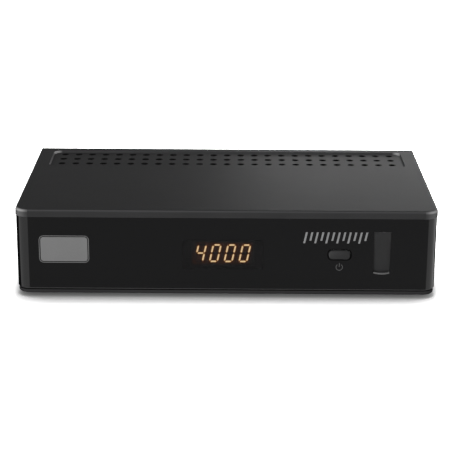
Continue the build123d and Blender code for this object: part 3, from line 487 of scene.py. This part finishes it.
gilt = bmesh.new()
for x in (-29.5, -27.0, -25.0, -22.5):
    add_block(gilt, (x - 0.5, 45.0, 13.04), (x + 0.5, 54.6, 13.24), 0.03)
for number in range(8):
    x = -4.0 + (number - 3.5) * 1.02
    lean = about((x, 54.6, 22.2), math.radians(28))
    add_block(gilt, (x - 0.2, 47.4, 22.0), (x + 0.2, 54.8, 22.3), 0.05, lean)
for number in range(19):
    x = 19.0 + (number - 9) * 0.5
    low, high = (14.28, 14.36) if number % 2 == 0 else (13.04, 13.12)
    add_block(gilt, (x - 0.12, 46.0, low), (x + 0.12, 55.2, high), 0.02)
piece("socket_contacts", gilt, contact_gold, "contact_gold")

springs = bmesh.new()
for x in (-29.6, -22.4):
    lean = about((x, 55.6, 16.0), math.radians(-5))
    add_block(springs, (x - 1.0, 48.5, 15.7), (x + 1.0, 55.6, 15.85), 0.04, lean)
lean = about((76.0, 55.6, 14.2), math.radians(4))
add_block(springs, (75.1, 48.0, 14.1), (76.9, 55.6, 14.3), 0.05, lean)
for x, z, bore, rim, face in ((54.0, 14.2, 1.8, 2.45, 57.0), (76.0, 17.0, 3.1, 3.4, 56.5)):
    collar = ((bore, face - 0.6), (bore, face + 0.06), (rim, face + 0.06), (rim, face - 0.6))
    add_turned(springs, (*collar, collar[0]), mm * Vector((x, 0, z)), backward)
piece("socket_springs", springs, nickel, "nickel")

lamps = bmesh.new()
for x in (-9.4, 1.4):
    add_block(lamps, (x - 1.3, 56.2, 22.5), (x + 1.3, 56.56, 23.4), 0.08)
light_pipe = moulded("light_pipe", (0.35, 0.42, 0.3), 0.25, 0.5, 0.0008, 0.000005)
piece("network_lamps", lamps, light_pipe, "dielectric_white")


# ---- Small parts of the main board ----
# Legs of the chips, ceramic chip parts with tinned ends, copper windings in the coils' wells,
# vent scores in the capacitors, and the white lines printed round each place.

board_top = 10.7


def thicken(form, faces, step):
    """Draws faces out by step, in metres, into a slab, and returns what it adds."""
    grown = bmesh.ops.extrude_face_region(form, geom=faces)["geom"]
    moved = [part for part in grown if isinstance(part, bmesh.types.BMVert)]
    bmesh.ops.translate(form, verts=moved, vec=step)
    return grown


def add_legs(form, low, high, count, pitch, width, quarters):
    """Adds gull-wing legs to the sides of a chip whose box is low to high, in millimetres."""
    foot = Vector(((low[0] + high[0]) / 2, (low[1] + high[1]) / 2, low[2]))
    shoulder = (high[2] - low[2]) / 2
    for quarter in quarters:
        turn = Matrix.Rotation(quarter * math.pi / 2, 3, "Z")
        reach = (high[quarter % 2] - low[quarter % 2]) / 2
        outline = (
            (0.0, shoulder),
            (0.35, shoulder),
            (0.4, 0.0),
            (0.95, 0.0),
            (0.95, 0.12),
            (0.52, 0.12),
            (0.47, shoulder + 0.12),
            (0.0, shoulder + 0.12),
        )
        for number in range(count):
            along = (number - (count - 1) / 2) * pitch - width / 2
            spots = [turn @ Vector((reach + out, along, up)) for out, up in outline]
            leg = form.faces.new([form.verts.new(mm * (foot + spot)) for spot in spots])
            thicken(form, [leg], turn @ Vector((0, mm * width, 0)))


legs = bmesh.new()
add_legs(legs, (-68.0, 4.4, board_top), (-56.0, 16.4, 11.9), 16, 0.65, 0.28, (0, 1, 2, 3))
add_legs(legs, (-40.6, 14.4, board_top), (-35.4, 19.6, 12.4), 4, 1.27, 0.42, (0, 2))
add_legs(legs, (-10.25, 20.5, board_top), (2.25, 29.5, 16.3), 8, 1.27, 0.45, (1, 3))
piece("chip_legs", legs, tinned_steel, "tinned_steel")

part_rows = (
    (-46.0, -30.0, 2.8, 0.0, 7, True),
    (-18.5, -24.0, 0.0, 2.6, 7, False),
    (-52.0, 6.0, 0.0, 3.0, 4, False),
    (5.0, -14.0, 3.0, 0.0, 8, True),
    (13.0, 40.0, 2.4, 0.0, 6, True),
    (-10.0, 35.0, 2.4, 0.0, 6, True),
    (-31.0, 38.5, 2.5, 0.0, 5, True),
    (34.0, 37.0, 3.4, 0.0, 7, True),
    (66.0, 39.0, 0.0, 3.0, 4, False),
    (-83.0, -28.0, 0.0, 4.0, 10, False),
)
bodies = bmesh.new()
caps = bmesh.new()
for start_x, start_y, step_x, step_y, count, crosswise in part_rows:
    for number in range(count):
        x = start_x + number * step_x
        y = start_y + number * step_y
        turned = about((x, y, 0), math.pi / 2 if crosswise else 0.0, "Z")
        top = board_top + (0.9 if number % 3 == 0 else 0.55)
        add_block(bodies, (x - 0.6, y - 0.42, board_top), (x + 0.6, y + 0.42, top), 0.04, turned)
        for end in (x - 0.7, x + 0.7):
            low, high = (end - 0.2, y - 0.44, board_top), (end + 0.2, y + 0.44, top + 0.02)
            add_block(caps, low, high, 0.05, turned)
ceramic = moulded("ceramic", (0.16, 0.11, 0.07), 0.5, 0.4, 0.0006, 0.000005)
piece("chip_parts", bodies, ceramic, "chip_black")
piece("chip_part_ends", caps, tinned_steel, "tinned_steel")

windings = bmesh.new()
wire = 0.12
eighths = [step * math.pi / 4 for step in range(9)]
for x, y in ((22.0, -1.0), (10.0, -1.0), (-24.0, -37.0)):
    for height in (14.17, 14.42, 14.67):
        section = [(2.12 + wire * math.cos(a), height + wire * math.sin(a)) for a in eighths]
        add_turned(windings, section, mm * Vector((x, y, 0)), Vector((0, 0, 1)), 32)
copper = metal("copper", (0.72, 0.3, 0.14), 0.3)
piece("coil_windings", windings, copper, "contact_gold")


def rounded_sheet(form, width, height, corner, segments):
    """Adds a flat rectangle with rounded corners, in millimetres, and returns its face."""
    size = Matrix.Diagonal((mm * width, mm * height, 1.0, 1.0))
    sheet = bmesh.ops.create_grid(form, x_segments=1, y_segments=1, size=0.5, matrix=size)
    rounded = bmesh.ops.bevel(
        form,
        geom=sheet["verts"],
        offset=mm * corner,
        segments=segments,
        profile=0.5,
        affect="VERTICES",
        material=-1,
    )
    return rounded["verts"][0].link_faces[0]


def add_frame(form, place, facing, outer, inner, depth):
    """Adds a flat frame between two rounded rectangles of (width, height, corner radius)."""
    old = set(form.verts)
    loops = []
    for width, height, corner in (outer, inner):
        sheet = rounded_sheet(form, width, height, corner, 6)
        loops += sheet.edges
        bmesh.ops.delete(form, geom=[sheet], context="FACES_ONLY")
    strip = bmesh.ops.bridge_loops(form, edges=loops)["faces"]
    thicken(form, strip, (0, 0, mm * depth))
    set_down(form, old, place, facing)


def add_outline(form, place, facing, width, height, corner, line, depth):
    """Adds a frame that is line wide, inside a rounded rectangle."""
    outer = (width, height, corner)
    inner = (width - 2 * line, height - 2 * line, corner - line)
    add_frame(form, place, facing, outer, inner, depth)


def add_ring(form, place, outer, inner, depth):
    """Adds a flat ring that is outer and inner millimetres across."""
    edges = [(across, across, 0.499 * across) for across in (outer, inner)]
    add_frame(form, place, upward, *edges, depth)


ink = 0.02
board_line = 0.18
lines = bmesh.new()
for x, y, width, height in (
    (-38.0, -11.0, 23.0, 23.0),
    (-64.0, -21.0, 10.4, 14.4),
    (-62.0, 10.4, 15.0, 15.0),
    (-38.0, 17.0, 8.4, 6.4),
    (-4.0, 25.0, 13.6, 12.0),
    (-12.0, -11.0, 5.8, 12.4),
    (22.0, -1.0, 8.2, 8.2),
    (10.0, -1.0, 8.2, 8.2),
    (-24.0, -37.0, 8.2, 8.2),
    (12.0, -51.4, 22.4, 4.4),
):
    add_outline(lines, (x, y, board_top), upward, width, height, 0.28, board_line, ink)
small_capacitors = ((-75.0, -5.0), (-75.0, -17.0), (10.0, -27.0), (24.0, -27.0))
large_capacitors = ((30.0, 13.0), (30.0, 25.0), (18.0, 25.0))
for places, width in ((small_capacitors, 7.6), (large_capacitors, 9.4)):
    for x, y in places:
        add_ring(lines, (x, y, board_top), width, width - 2 * board_line, ink)
board_ink = moulded("board_ink", (0.7, 0.7, 0.68), 0.6, 0.3, 0.0004, 0.000002)
piece("board_lines", lines, board_ink, "dielectric_white")

scores = bmesh.new()
for places, reach, top in (
    (small_capacitors, 1.953, 17.7),
    (large_capacitors, 2.48, 22.2),
):
    for x, y in places:
        low, high = (x - reach, y - 0.14, top - 0.05), (x + reach, y + 0.14, top + 0.02)
        for turn in (math.radians(30), math.radians(120)):
            add_block(scores, low, high, 0.02, about((x, y, top), turn, "Z"))
score_dark = metal("score_dark", (0.2, 0.2, 0.21), 0.4)
piece("capacitor_scores", scores, score_dark, "capacitor_can")


# ---- Rear plate ----
# Flat plate of the case plastic with a cut-out round each socket, and a thin grey line printed
# round each group of them.

rear_plastic = moulded("rear_plastic", (0.022, 0.022, 0.0225), 0.5, 0.1)
dress(rear_plastic, "rear_panel")
prints = bmesh.new()
for left, right in ((-76.0, -48.0), (-36.0, 30.0), (31.5, 61.0), (68.0, 84.0)):
    middle = ((left + right) / 2, 56.0, 18.4)
    add_outline(prints, middle, to_rear, right - left, 22.0, 1.5, 0.25, ink)
rear_ink = moulded("rear_ink", (0.2, 0.2, 0.2), 0.6, 0.2, 0.0005, 0.000002)
piece("rear_lines", prints, rear_ink, "dielectric_white")


# ---- Front board and display ----
# Upright board behind the panel with the four-digit module. The bars are cast in clear resin
# over amber lights: each glows brightest along its core and spills a haze on the black module,
# and a matt shroud shuts the light in.

front_green = board_finish("front_board_green")
dress(front_green, "front_board")
unlit_grey = moulded("unlit_grey", (0.006, 0.006, 0.006), 0.4, 0.2)
display_x = -1.9
display_z = 24.0
core_face = -64.2
digit_pitch = 7.7
slant = math.tan(math.radians(12))


def glowing(name, colour, strength):
    """Clear resin with a light behind it."""
    inputs = {"Base Color": (0.4, 0.2, 0.06, 1), "Roughness": 0.4}
    finish = Finish(name, inputs)
    uneven = finish.noise(0.0012, 2.0) * 0.5 + 0.75
    glow = finish.mix(uneven, (0, 0, 0, 1), (*colour, 1.0))
    finish.fill(finish.surface, {"Emission Color": glow, "Emission Strength": strength})
    return finish


module_plastic = moulded("module_plastic", (0.004, 0.004, 0.004), 0.5, 0.2)
across, up = module_plastic.along(module_plastic.spot(), "XZ")
up = up * (1 / mm) - display_z
across = (across * (1 / mm) - display_x - up * slant) / digit_pitch
inward = 0.5 - across.math("PINGPONG", 0.5)
spill = 1 - (inward - 0.25).math("ABSOLUTE") * 2.4
for fade in (6.4 - up.math("ABSOLUTE"), 7.8 - across.math("ABSOLUTE") * 3.7):
    spill = spill * (fade * 0.6).math("MAXIMUM", 0.0).math("MINIMUM", 1.0)
spill = spill * module_plastic.noise(0.0014, 2.0)
haze = module_plastic.mix(spill, (0, 0, 0, 1), (1.0, 0.22, 0.03, 1))
module_plastic.fill(module_plastic.surface, {"Emission Color": haze, "Emission Strength": 0.7})
lit_amber = glowing("lit_amber", (1.0, 0.37, 0.02), 3.0)
lit_core = glowing("lit_core", (1.0, 0.75, 0.43), 8.3)
cores = bmesh.new()
stroke_x = 1.975
stroke_z = 4.525
bar_spots = {
    "a": (0.0, stroke_z, True),
    "b": (stroke_x, stroke_z / 2, False),
    "c": (stroke_x, -stroke_z / 2, False),
    "d": (0.0, -stroke_z, True),
    "e": (-stroke_x, -stroke_z / 2, False),
    "f": (-stroke_x, stroke_z / 2, False),
    "g": (0.0, 0.0, True),
}
core_half = 0.38
for place, bars in enumerate(("bcfg", "abcdef", "abcdef", "abcdef")):
    digit_x = display_x + (place - 1.5) * digit_pitch
    for bar in bars:
        aside, rise, lying = bar_spots[bar]
        reach = 1.5 if lying else 1.82
        ring = []
        for end, off in (
            (-reach, 0),
            (core_half - reach, core_half),
            (reach - core_half, core_half),
            (reach, 0),
            (reach - core_half, -core_half),
            (core_half - reach, -core_half),
        ):
            x, z = (end, off) if lying else (off, end)
            x = digit_x + aside + x + (rise + z) * slant
            ring.append(cores.verts.new(mm * Vector((x, core_face, display_z + rise + z))))
        thicken(cores, [cores.faces.new(ring)], (0, -0.04 * mm, 0))
piece("bar_cores", cores, lit_core, "lit_amber")
shroud = bmesh.new()
shroud_foot = (display_x, -57.65, display_z)
add_frame(shroud, shroud_foot, to_front, (44.6, 18.6, 1.0), (32.4, 14.8, 0.4), 6.8)
shroud_and_shadow_black = moulded("shroud_and_shadow_black", (0.0006, 0.0006, 0.0006), 0.8, 0.05)
piece("display_shroud", shroud, shroud_and_shadow_black, "module_plastic")
plunger_plastic = moulded("plunger_plastic", (0.3, 0.3, 0.31), 0.4, 0.4)
dress(module_plastic, "display_module")
dress(unlit_grey, "unlit_bars")
dress(lit_amber, "lit_bars")
dress(plunger_plastic, "switch_plunger")


# ---- Front panel ----
# Piano-black polycarbonate, moulded against a polished tool, so its face mirrors the room. Its
# bevelled foot is painted paler, a painted highlight for the light of the table. The display's
# window is smoked and set flush.

gloss_black = Finish("gloss_black", {"IOR": 1.31})
haze = gloss_black.noise(0.03, 3.0)
(rising,) = gloss_black.outlook("Z")
# Faces that look down, such as the bevelled foot, are painted paler: a painted highlight.
painted_downward_highlight = rising < -0.4
gloss_black.fill(
    gloss_black.surface,
    {
        "Base Color": gloss_black.mix(painted_downward_highlight, (0.003, 0.003, 0.0032, 1), (0.05, 0.05, 0.05, 1)),
        "Roughness": haze * 0.05 + painted_downward_highlight * 0.3 + 0.04,
    },
)
dress(gloss_black, "front_panel")
smoked_window = Finish(
    "smoked_window",
    {"Base Color": (0.003, 0.003, 0.0032, 1), "IOR": 1.37, "Roughness": 0.06, "Alpha": 0.72},
)
dress(smoked_window, "display_window")


# ---- Prints on the panel ----
# Silk-screened in light grey: a bare plate at the left, a row of slim bars over the key and
# the standard standby sign under it.

panel_face = -66.7
print_face = panel_face - ink
print_depth = (0, 0.03 * mm, 0)


def add_plate(form, place, facing, width, height, corner, thickness, edge=0.0):
    """Adds a rounded rectangle of some thickness whose upper edge may be bevelled."""
    old = set(form.verts)
    sheet = rounded_sheet(form, width, height, corner, 8)
    grown = thicken(form, [sheet], (0, 0, mm * thickness))
    if edge:
        top = [side for side in grown if isinstance(side, bmesh.types.BMEdge)]
        bmesh.ops.bevel(
            form,
            geom=top,
            offset=mm * edge,
            segments=3,
            profile=0.5,
            affect="EDGES",
            material=-1,
        )
    set_down(form, old, place, facing)


badge = bmesh.new()
badge_place = (-84.5, panel_face, 26.5)
add_plate(badge, badge_place, to_front, 24.4, 13.2, 1.6, ink)
add_outline(badge, badge_place, to_front, 26.0, 14.8, 2.4, 0.3, ink)
plate_grey = moulded("plate_grey", (0.115, 0.115, 0.115), 0.6, 0.2, 0.0006, 0.000004)
piece("blank_plate", badge, plate_grey, "plunger_plastic")

slim = bmesh.new()
bar_top = 36.6
for number in range(12):
    bar_x = 56.75 + (number - 5.5) * 2.85
    low = 30.6 if number % 2 == 0 else 32.0
    spots = [
        slim.verts.new(mm * Vector((bar_x + aside + (z - 33.6) * slant, print_face, z)))
        for aside, z in ((-0.5, low), (0.5, low), (0.5, bar_top), (-0.5, bar_top))
    ]
    thicken(slim, [slim.faces.new(spots)], print_depth)
silver_ink = moulded("silver_ink", (0.17, 0.17, 0.172), 0.5, 0.3, 0.0005, 0.000003)
piece("slim_bars", slim, silver_ink, "plunger_plastic")

standby = bmesh.new()
sign_centre = mm * Vector((59.0, print_face, 17.5))
arc_start = math.radians(125)
outward = mm * Vector((math.cos(arc_start), 0, math.sin(arc_start)))
ends = [standby.verts.new(sign_centre + radius * outward) for radius in (1.5, 1.85)]
bmesh.ops.spin(
    standby,
    geom=[*ends, standby.edges.new(ends)],
    cent=sign_centre,
    axis=(0, -1, 0),
    dvec=(0, 0, 0),
    angle=math.radians(290),
    steps=24,
    use_merge=False,
)
thicken(standby, list(standby.faces), print_depth)
add_block(standby, (58.82, print_face, 17.6), (59.18, print_face + 0.03, 19.8), 0.005)
sign_ink = moulded("sign_ink", (0.055, 0.055, 0.055), 0.5, 0.2, 0.0005, 0.000002)
piece("standby_sign", standby, sign_ink, "plunger_plastic")


# ---- Rating label ----
# Paper label with a printed border, cut with round corners and stuck on the underside between
# the front feet. It stays bare.

label = bmesh.new()
add_plate(label, (0.0, -47.0, 2.0), to_floor, 62.0, 15.0, 1.5, 0.06)
label_paper = moulded("label_paper", (0.5, 0.5, 0.49), 0.6, 0.2, 0.0008, 0.000004)
piece("rating_label", label, label_paper, "dielectric_white")
border = bmesh.new()
add_outline(border, (0.0, -47.0, 1.94), to_floor, 60.0, 13.0, 1.0, 0.3, ink / 2)
piece("label_border", border, chip_black, "chip_black")


# ---- Remote-control window ----
# Smoked polycarbonate that leans inwards to its foot, which leaves a bowed sill in the panel:
# an arc of 34.8 degrees, drawn as a pale grey strip that is a painted highlight.

ir_plastic = moulded("ir_plastic", (0.0135, 0.0135, 0.0138), 0.32, 0.3, 0.0009, 0.00001)
dress(ir_plastic, "ir_window")
sill = bmesh.new()
sill_arc = math.radians(34.8)
sill_centre = mm * Vector((81.1, 0.0, 27.78))
sill_start = Matrix.Rotation(sill_arc / 2, 3, "Y")
ends = [
    sill.verts.new(sill_centre + mm * (sill_start @ Vector((0, y, -radius))))
    for radius, y in ((14.16, print_face), (13.6, print_face), (13.5, -66.0), (14.16, -66.0))
]
bmesh.ops.spin(
    sill,
    geom=[*ends, *(sill.edges.new(pair) for pair in zip(ends, ends[1:] + ends[:1]))],
    cent=sill_centre,
    axis=(0, -1, 0),
    dvec=(0, 0, 0),
    angle=sill_arc,
    steps=20,
    use_merge=False,
)
bmesh.ops.holes_fill(sill, edges=sill.edges, sides=4)
# The sill's pale grey is a painted highlight.
sill_highlight_grey = moulded("sill_highlight_grey", (0.075, 0.075, 0.075), 0.4, 0.4)
piece("window_sill", sill, sill_highlight_grey, "gloss_black")


# ---- Power key ----
# Small cap with a fine grain that leans back to its top edge, with a stop flange behind the
# panel and a stem to the switch. The gap round it is drawn as a thin black frame on the panel: a
# painted shadow.

key_x = 59.0
key_z = 24.1
cap_back = -64.4
cap_lean = 0.234
cap = bmesh.new()
add_plate(cap, (key_x, cap_back, key_z), to_front, 11.4, 4.7, 1.9, 2.3, 0.35)
for vert in cap.verts:
    if vert.co.y < (cap_back - 0.1) * mm:
        vert.co.y += cap_lean * (vert.co.z - mm * (key_z - 2.0))
add_plate(cap, (key_x, -63.4, key_z), to_front, 13.8, 7.1, 3.1, 1.0, 0.1)
stem = ((0.0, -63.5), (1.8, -63.5), (1.8, -61.9), (1.6, -61.7), (0.0, -61.7))
add_turned(cap, stem, mm * Vector((key_x, 0, key_z)), backward, 24)
key_plastic = moulded("key_plastic", (0.011, 0.011, 0.0113), 0.45, 0.2, 0.0005, 0.00004)
piece("key_cap", cap, key_plastic, "key_plastic", "power_key", body="key")

# A thin black frame on the panel face round the key is painted shadow for the gap.
key_gap_shadow = bmesh.new()
add_outline(key_gap_shadow, (key_x, panel_face, key_z + 0.25), to_front, 12.8, 6.3, 2.6, 0.35, ink)
piece("key_gap_shadow_frame", key_gap_shadow, shroud_and_shadow_black, "gloss_black")


# ---- Top cover ----
# Roof, side walls and front lip in one moulding, with the sunk ventilation field. Edges and
# front corners are painted paler as painted highlights, and the holes are painted dark from rim
# to rim as painted shade.

cover_plastic = moulded("cover_plastic", (0.026, 0.026, 0.0265), 0.5, 0.004, edges=2.0)
# Hollows such as the vent holes are painted black where occlusion is high: painted shade.
nearby = {"Distance": 0.003}
hole_occlusion = cover_plastic.add("ShaderNodeAmbientOcclusion", {"samples": 8}, nearby, "AO")
sideways, endways, upright = (side.math("ABSOLUTE") for side in cover_plastic.outlook("XYZ"))
# Rounded corners, most of all where they also turn up, are painted paler: a painted highlight.
corner_highlight = sideways * endways * (upright * 5.0 + 0.4)
corners = cover_plastic.mix(corner_highlight, cover_plastic.colour(), (0.26, 0.26, 0.26, 1))
with_painted_shade = cover_plastic.mix((0.66 - hole_occlusion) * 4.0, corners, (0, 0, 0, 1))
cover_plastic.fill(cover_plastic.surface, {"Base Color": with_painted_shade})
dress(cover_plastic, "top_cover")
# Dark rings sunk in each vent hole, round its rim, stand for the shade in the holes: painted
# shade.
hole_shade_rings = bmesh.new()
for column in range(-12, 13):
    for row in (-1, 0, 1):
        place = (column * 7.9, 36.6 + row * 9.7, 45.6)
        add_frame(hole_shade_rings, place, upward, (4.0, 4.0, 1.995), (2.74, 2.74, 1.365), 1.22)
hole_shade_black = moulded("hole_shade_black", (0.009, 0.009, 0.009), 0.8, 0.0)
piece("vent_hole_shade", hole_shade_rings, hole_shade_black, "cover_plastic")


# ---- Table, light and camera ----
# A pale table that runs on behind the receiver, with a painted shadow round the casing. A weak
# lamp hangs overhead, a low one at the right rear grazes the roof and throws no shadows, and two
# larger ones at the front left and the right fill the fronts. A long lens looks from a little
# above the front.


def stage_sheet(name, width, length, finish):
    """Makes a flat sheet of the stage round the origin."""
    form = bmesh.new()
    spread = Matrix.Diagonal((width, length, 1.0, 1.0))
    bmesh.ops.create_grid(form, x_segments=1, y_segments=1, size=0.5, matrix=spread)
    mesh = bpy.data.meshes.new(name)
    form.to_mesh(mesh)
    form.free()
    mesh.materials.append(finish.material)
    made = bpy.data.objects.new(name, mesh)
    bpy.context.scene.collection.objects.link(made)
    made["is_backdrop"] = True
    return made


table_paper = Finish("table_paper", {"Roughness": 0.9, "Specular IOR Level": 0.0})
seen = table_paper.add("ShaderNodeLightPath", {}, {}, "Is Camera Ray")
nearby = {"Distance": 0.022}
shadow_occlusion = table_paper.add("ShaderNodeAmbientOcclusion", {"samples": 12}, nearby, "AO")
# Painted shadow: how pale the table is, from the closed crease under the casing to open air.
shades = (
    (0.0, 0.2),
    (0.1, 0.28),
    (0.33, 0.4),
    (0.46, 0.44),
    (0.52, 0.54),
    (0.58, 0.66),
    (0.66, 1.05),
    (0.76, 1.45),
    (0.85, 1.7),
    (1.0, 2.6),
)
stops = [(place, (shade, shade, shade)) for place, shade in shades]
near = table_paper.add("ShaderNodeValToRGB", {"stops": stops}, {"Fac": shadow_occlusion})
# The painted shadow ends beside the casing, and from 0.4 m away on the table fades to white.
casing_half = 0.1095
spot = table_paper.spot()
(aside,) = table_paper.along(spot, "X")
beside = (aside.math("ABSOLUTE") - casing_half) * 140.0
near = table_paper.mix(beside, near, (2.8, 2.8, 2.8, 1))
away = table_paper.add("ShaderNodeVectorMath", {"operation": "LENGTH"}, {"Vector": spot}, 1)
near = table_paper.mix((away - 0.4) * 2.0, near, (12.0, 12.0, 12.0, 1))
paper = table_paper.mix(seen, (0.7, 0.7, 0.7, 1), near)
table_paper.fill(table_paper.surface, {"Base Color": paper})
stage_sheet("table", 6.0, 6.0, table_paper)

# The room is white where it is seen or mirrored, and lights the receiver at a quarter of that.
world = bpy.data.worlds.new("studio")
bpy.context.scene.world = world
world.use_nodes = True
background = world.node_tree.nodes["Background"]
ray = world.node_tree.nodes.new("ShaderNodeLightPath")
rays = Shade(world.node_tree, ray.outputs["Is Camera Ray"])
for kind in ("Is Glossy Ray", "Is Transmission Ray"):
    rays = rays.math("MAXIMUM", Shade(world.node_tree, ray.outputs[kind]))
plain = rays * 0.75 + 0.25
world.node_tree.links.new(plain.socket, background.inputs["Strength"])
background.inputs["Color"].default_value = (1, 1, 1, 1)


def lamp(name, place, aim, width, height, radiance):
    """Soft rectangular lamp at place that faces aim, as bright as radiance."""
    light = bpy.data.lights.new(name, "AREA")
    light.shape = "RECTANGLE"
    light.size = width
    light.size_y = height
    light.energy = radiance * math.pi * width * height
    holder = bpy.data.objects.new(name, light)
    facing = (Vector(aim) - Vector(place)).to_track_quat("-Z", "Y").to_matrix().to_4x4()
    holder.matrix_world = Matrix.Translation(place) @ facing
    holder.visible_camera = False
    bpy.context.scene.collection.objects.link(holder)
    return holder


lamp("overhead", (0.0, -0.6, 1.8), (0, 0, 0), 1.4, 1.0, 0.6)
lamp("front_left", (-1.2, -2.0, 0.4), (0, 0, 0.02), 1.2, 0.9, 17.5)
roof_lamp = lamp("rear_right", (0.26, 0.38, 0.13), (0.06, 0, 0.045), 0.56, 0.16, 11.5)
roof_lamp.data.use_shadow = False
lamp("right_fill", (2.0, -0.7, 0.15), (0.1, -0.06, 0.04), 0.9, 0.9, 9.0)

# Two low cards beside the front corners show only as light strips in the rounded gloss, and a
# black flag behind each keeps the far rim dark.
flag_black = Finish("flag_black", {"Base Color": (0, 0, 0, 1), "Specular IOR Level": 0.0})
card_length = 0.26
card_width = 0.24
flag_length = 0.12
for side, corner_x, turn in ((-1, -0.1036, math.radians(9.5)), (1, 0.1050, math.radians(38.0))):
    forward = Vector((side * math.sin(turn), -math.cos(turn), 0.0))
    outward = Vector((side * math.cos(turn), math.sin(turn), 0.0))
    middle = Vector((corner_x, cad_low.y, 0.0015))
    middle += forward * (card_length / 2) + outward * (card_width / 2)
    card = lamp("card", middle, middle + Vector((0, 0, 1)), card_width, card_length, 1.3)
    turned = Matrix.Rotation(side * turn, 4, "Z") @ to_floor
    card.matrix_world = Matrix.Translation(middle) @ turned
    card.visible_diffuse = False
    card.visible_transmission = False
    flag = stage_sheet("flag", card_width, flag_length, flag_black)
    behind = forward * (card_length + flag_length) / 2
    flag.matrix_world = Matrix.Translation(middle - behind) @ turned
    flag.visible_camera = False
    flag.visible_diffuse = False
    flag.visible_shadow = False

view = bpy.data.cameras.new("view")
view.sensor_width = 36.0
view.lens = 121.9
view.clip_start = 0.01
view.clip_end = 20.0
eye = (0.00154, cad_low.y - 0.75550, cad_high.z + 0.23547)
swing = Matrix.Rotation(0.0020019, 4, "Z")
dip = Matrix.Rotation(math.pi / 2 - 0.31229, 4, "X")
roll = Matrix.Rotation(0.0056531, 4, "Z")
camera = bpy.data.objects.new("view", view)
camera.matrix_world = Matrix.Translation(eye) @ swing @ dip @ roll
bpy.context.scene.collection.objects.link(camera)
bpy.context.scene.camera = camera
bpy.context.scene.view_settings.view_transform = "Standard"

bpy.context.view_layer.update()
low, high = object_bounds()
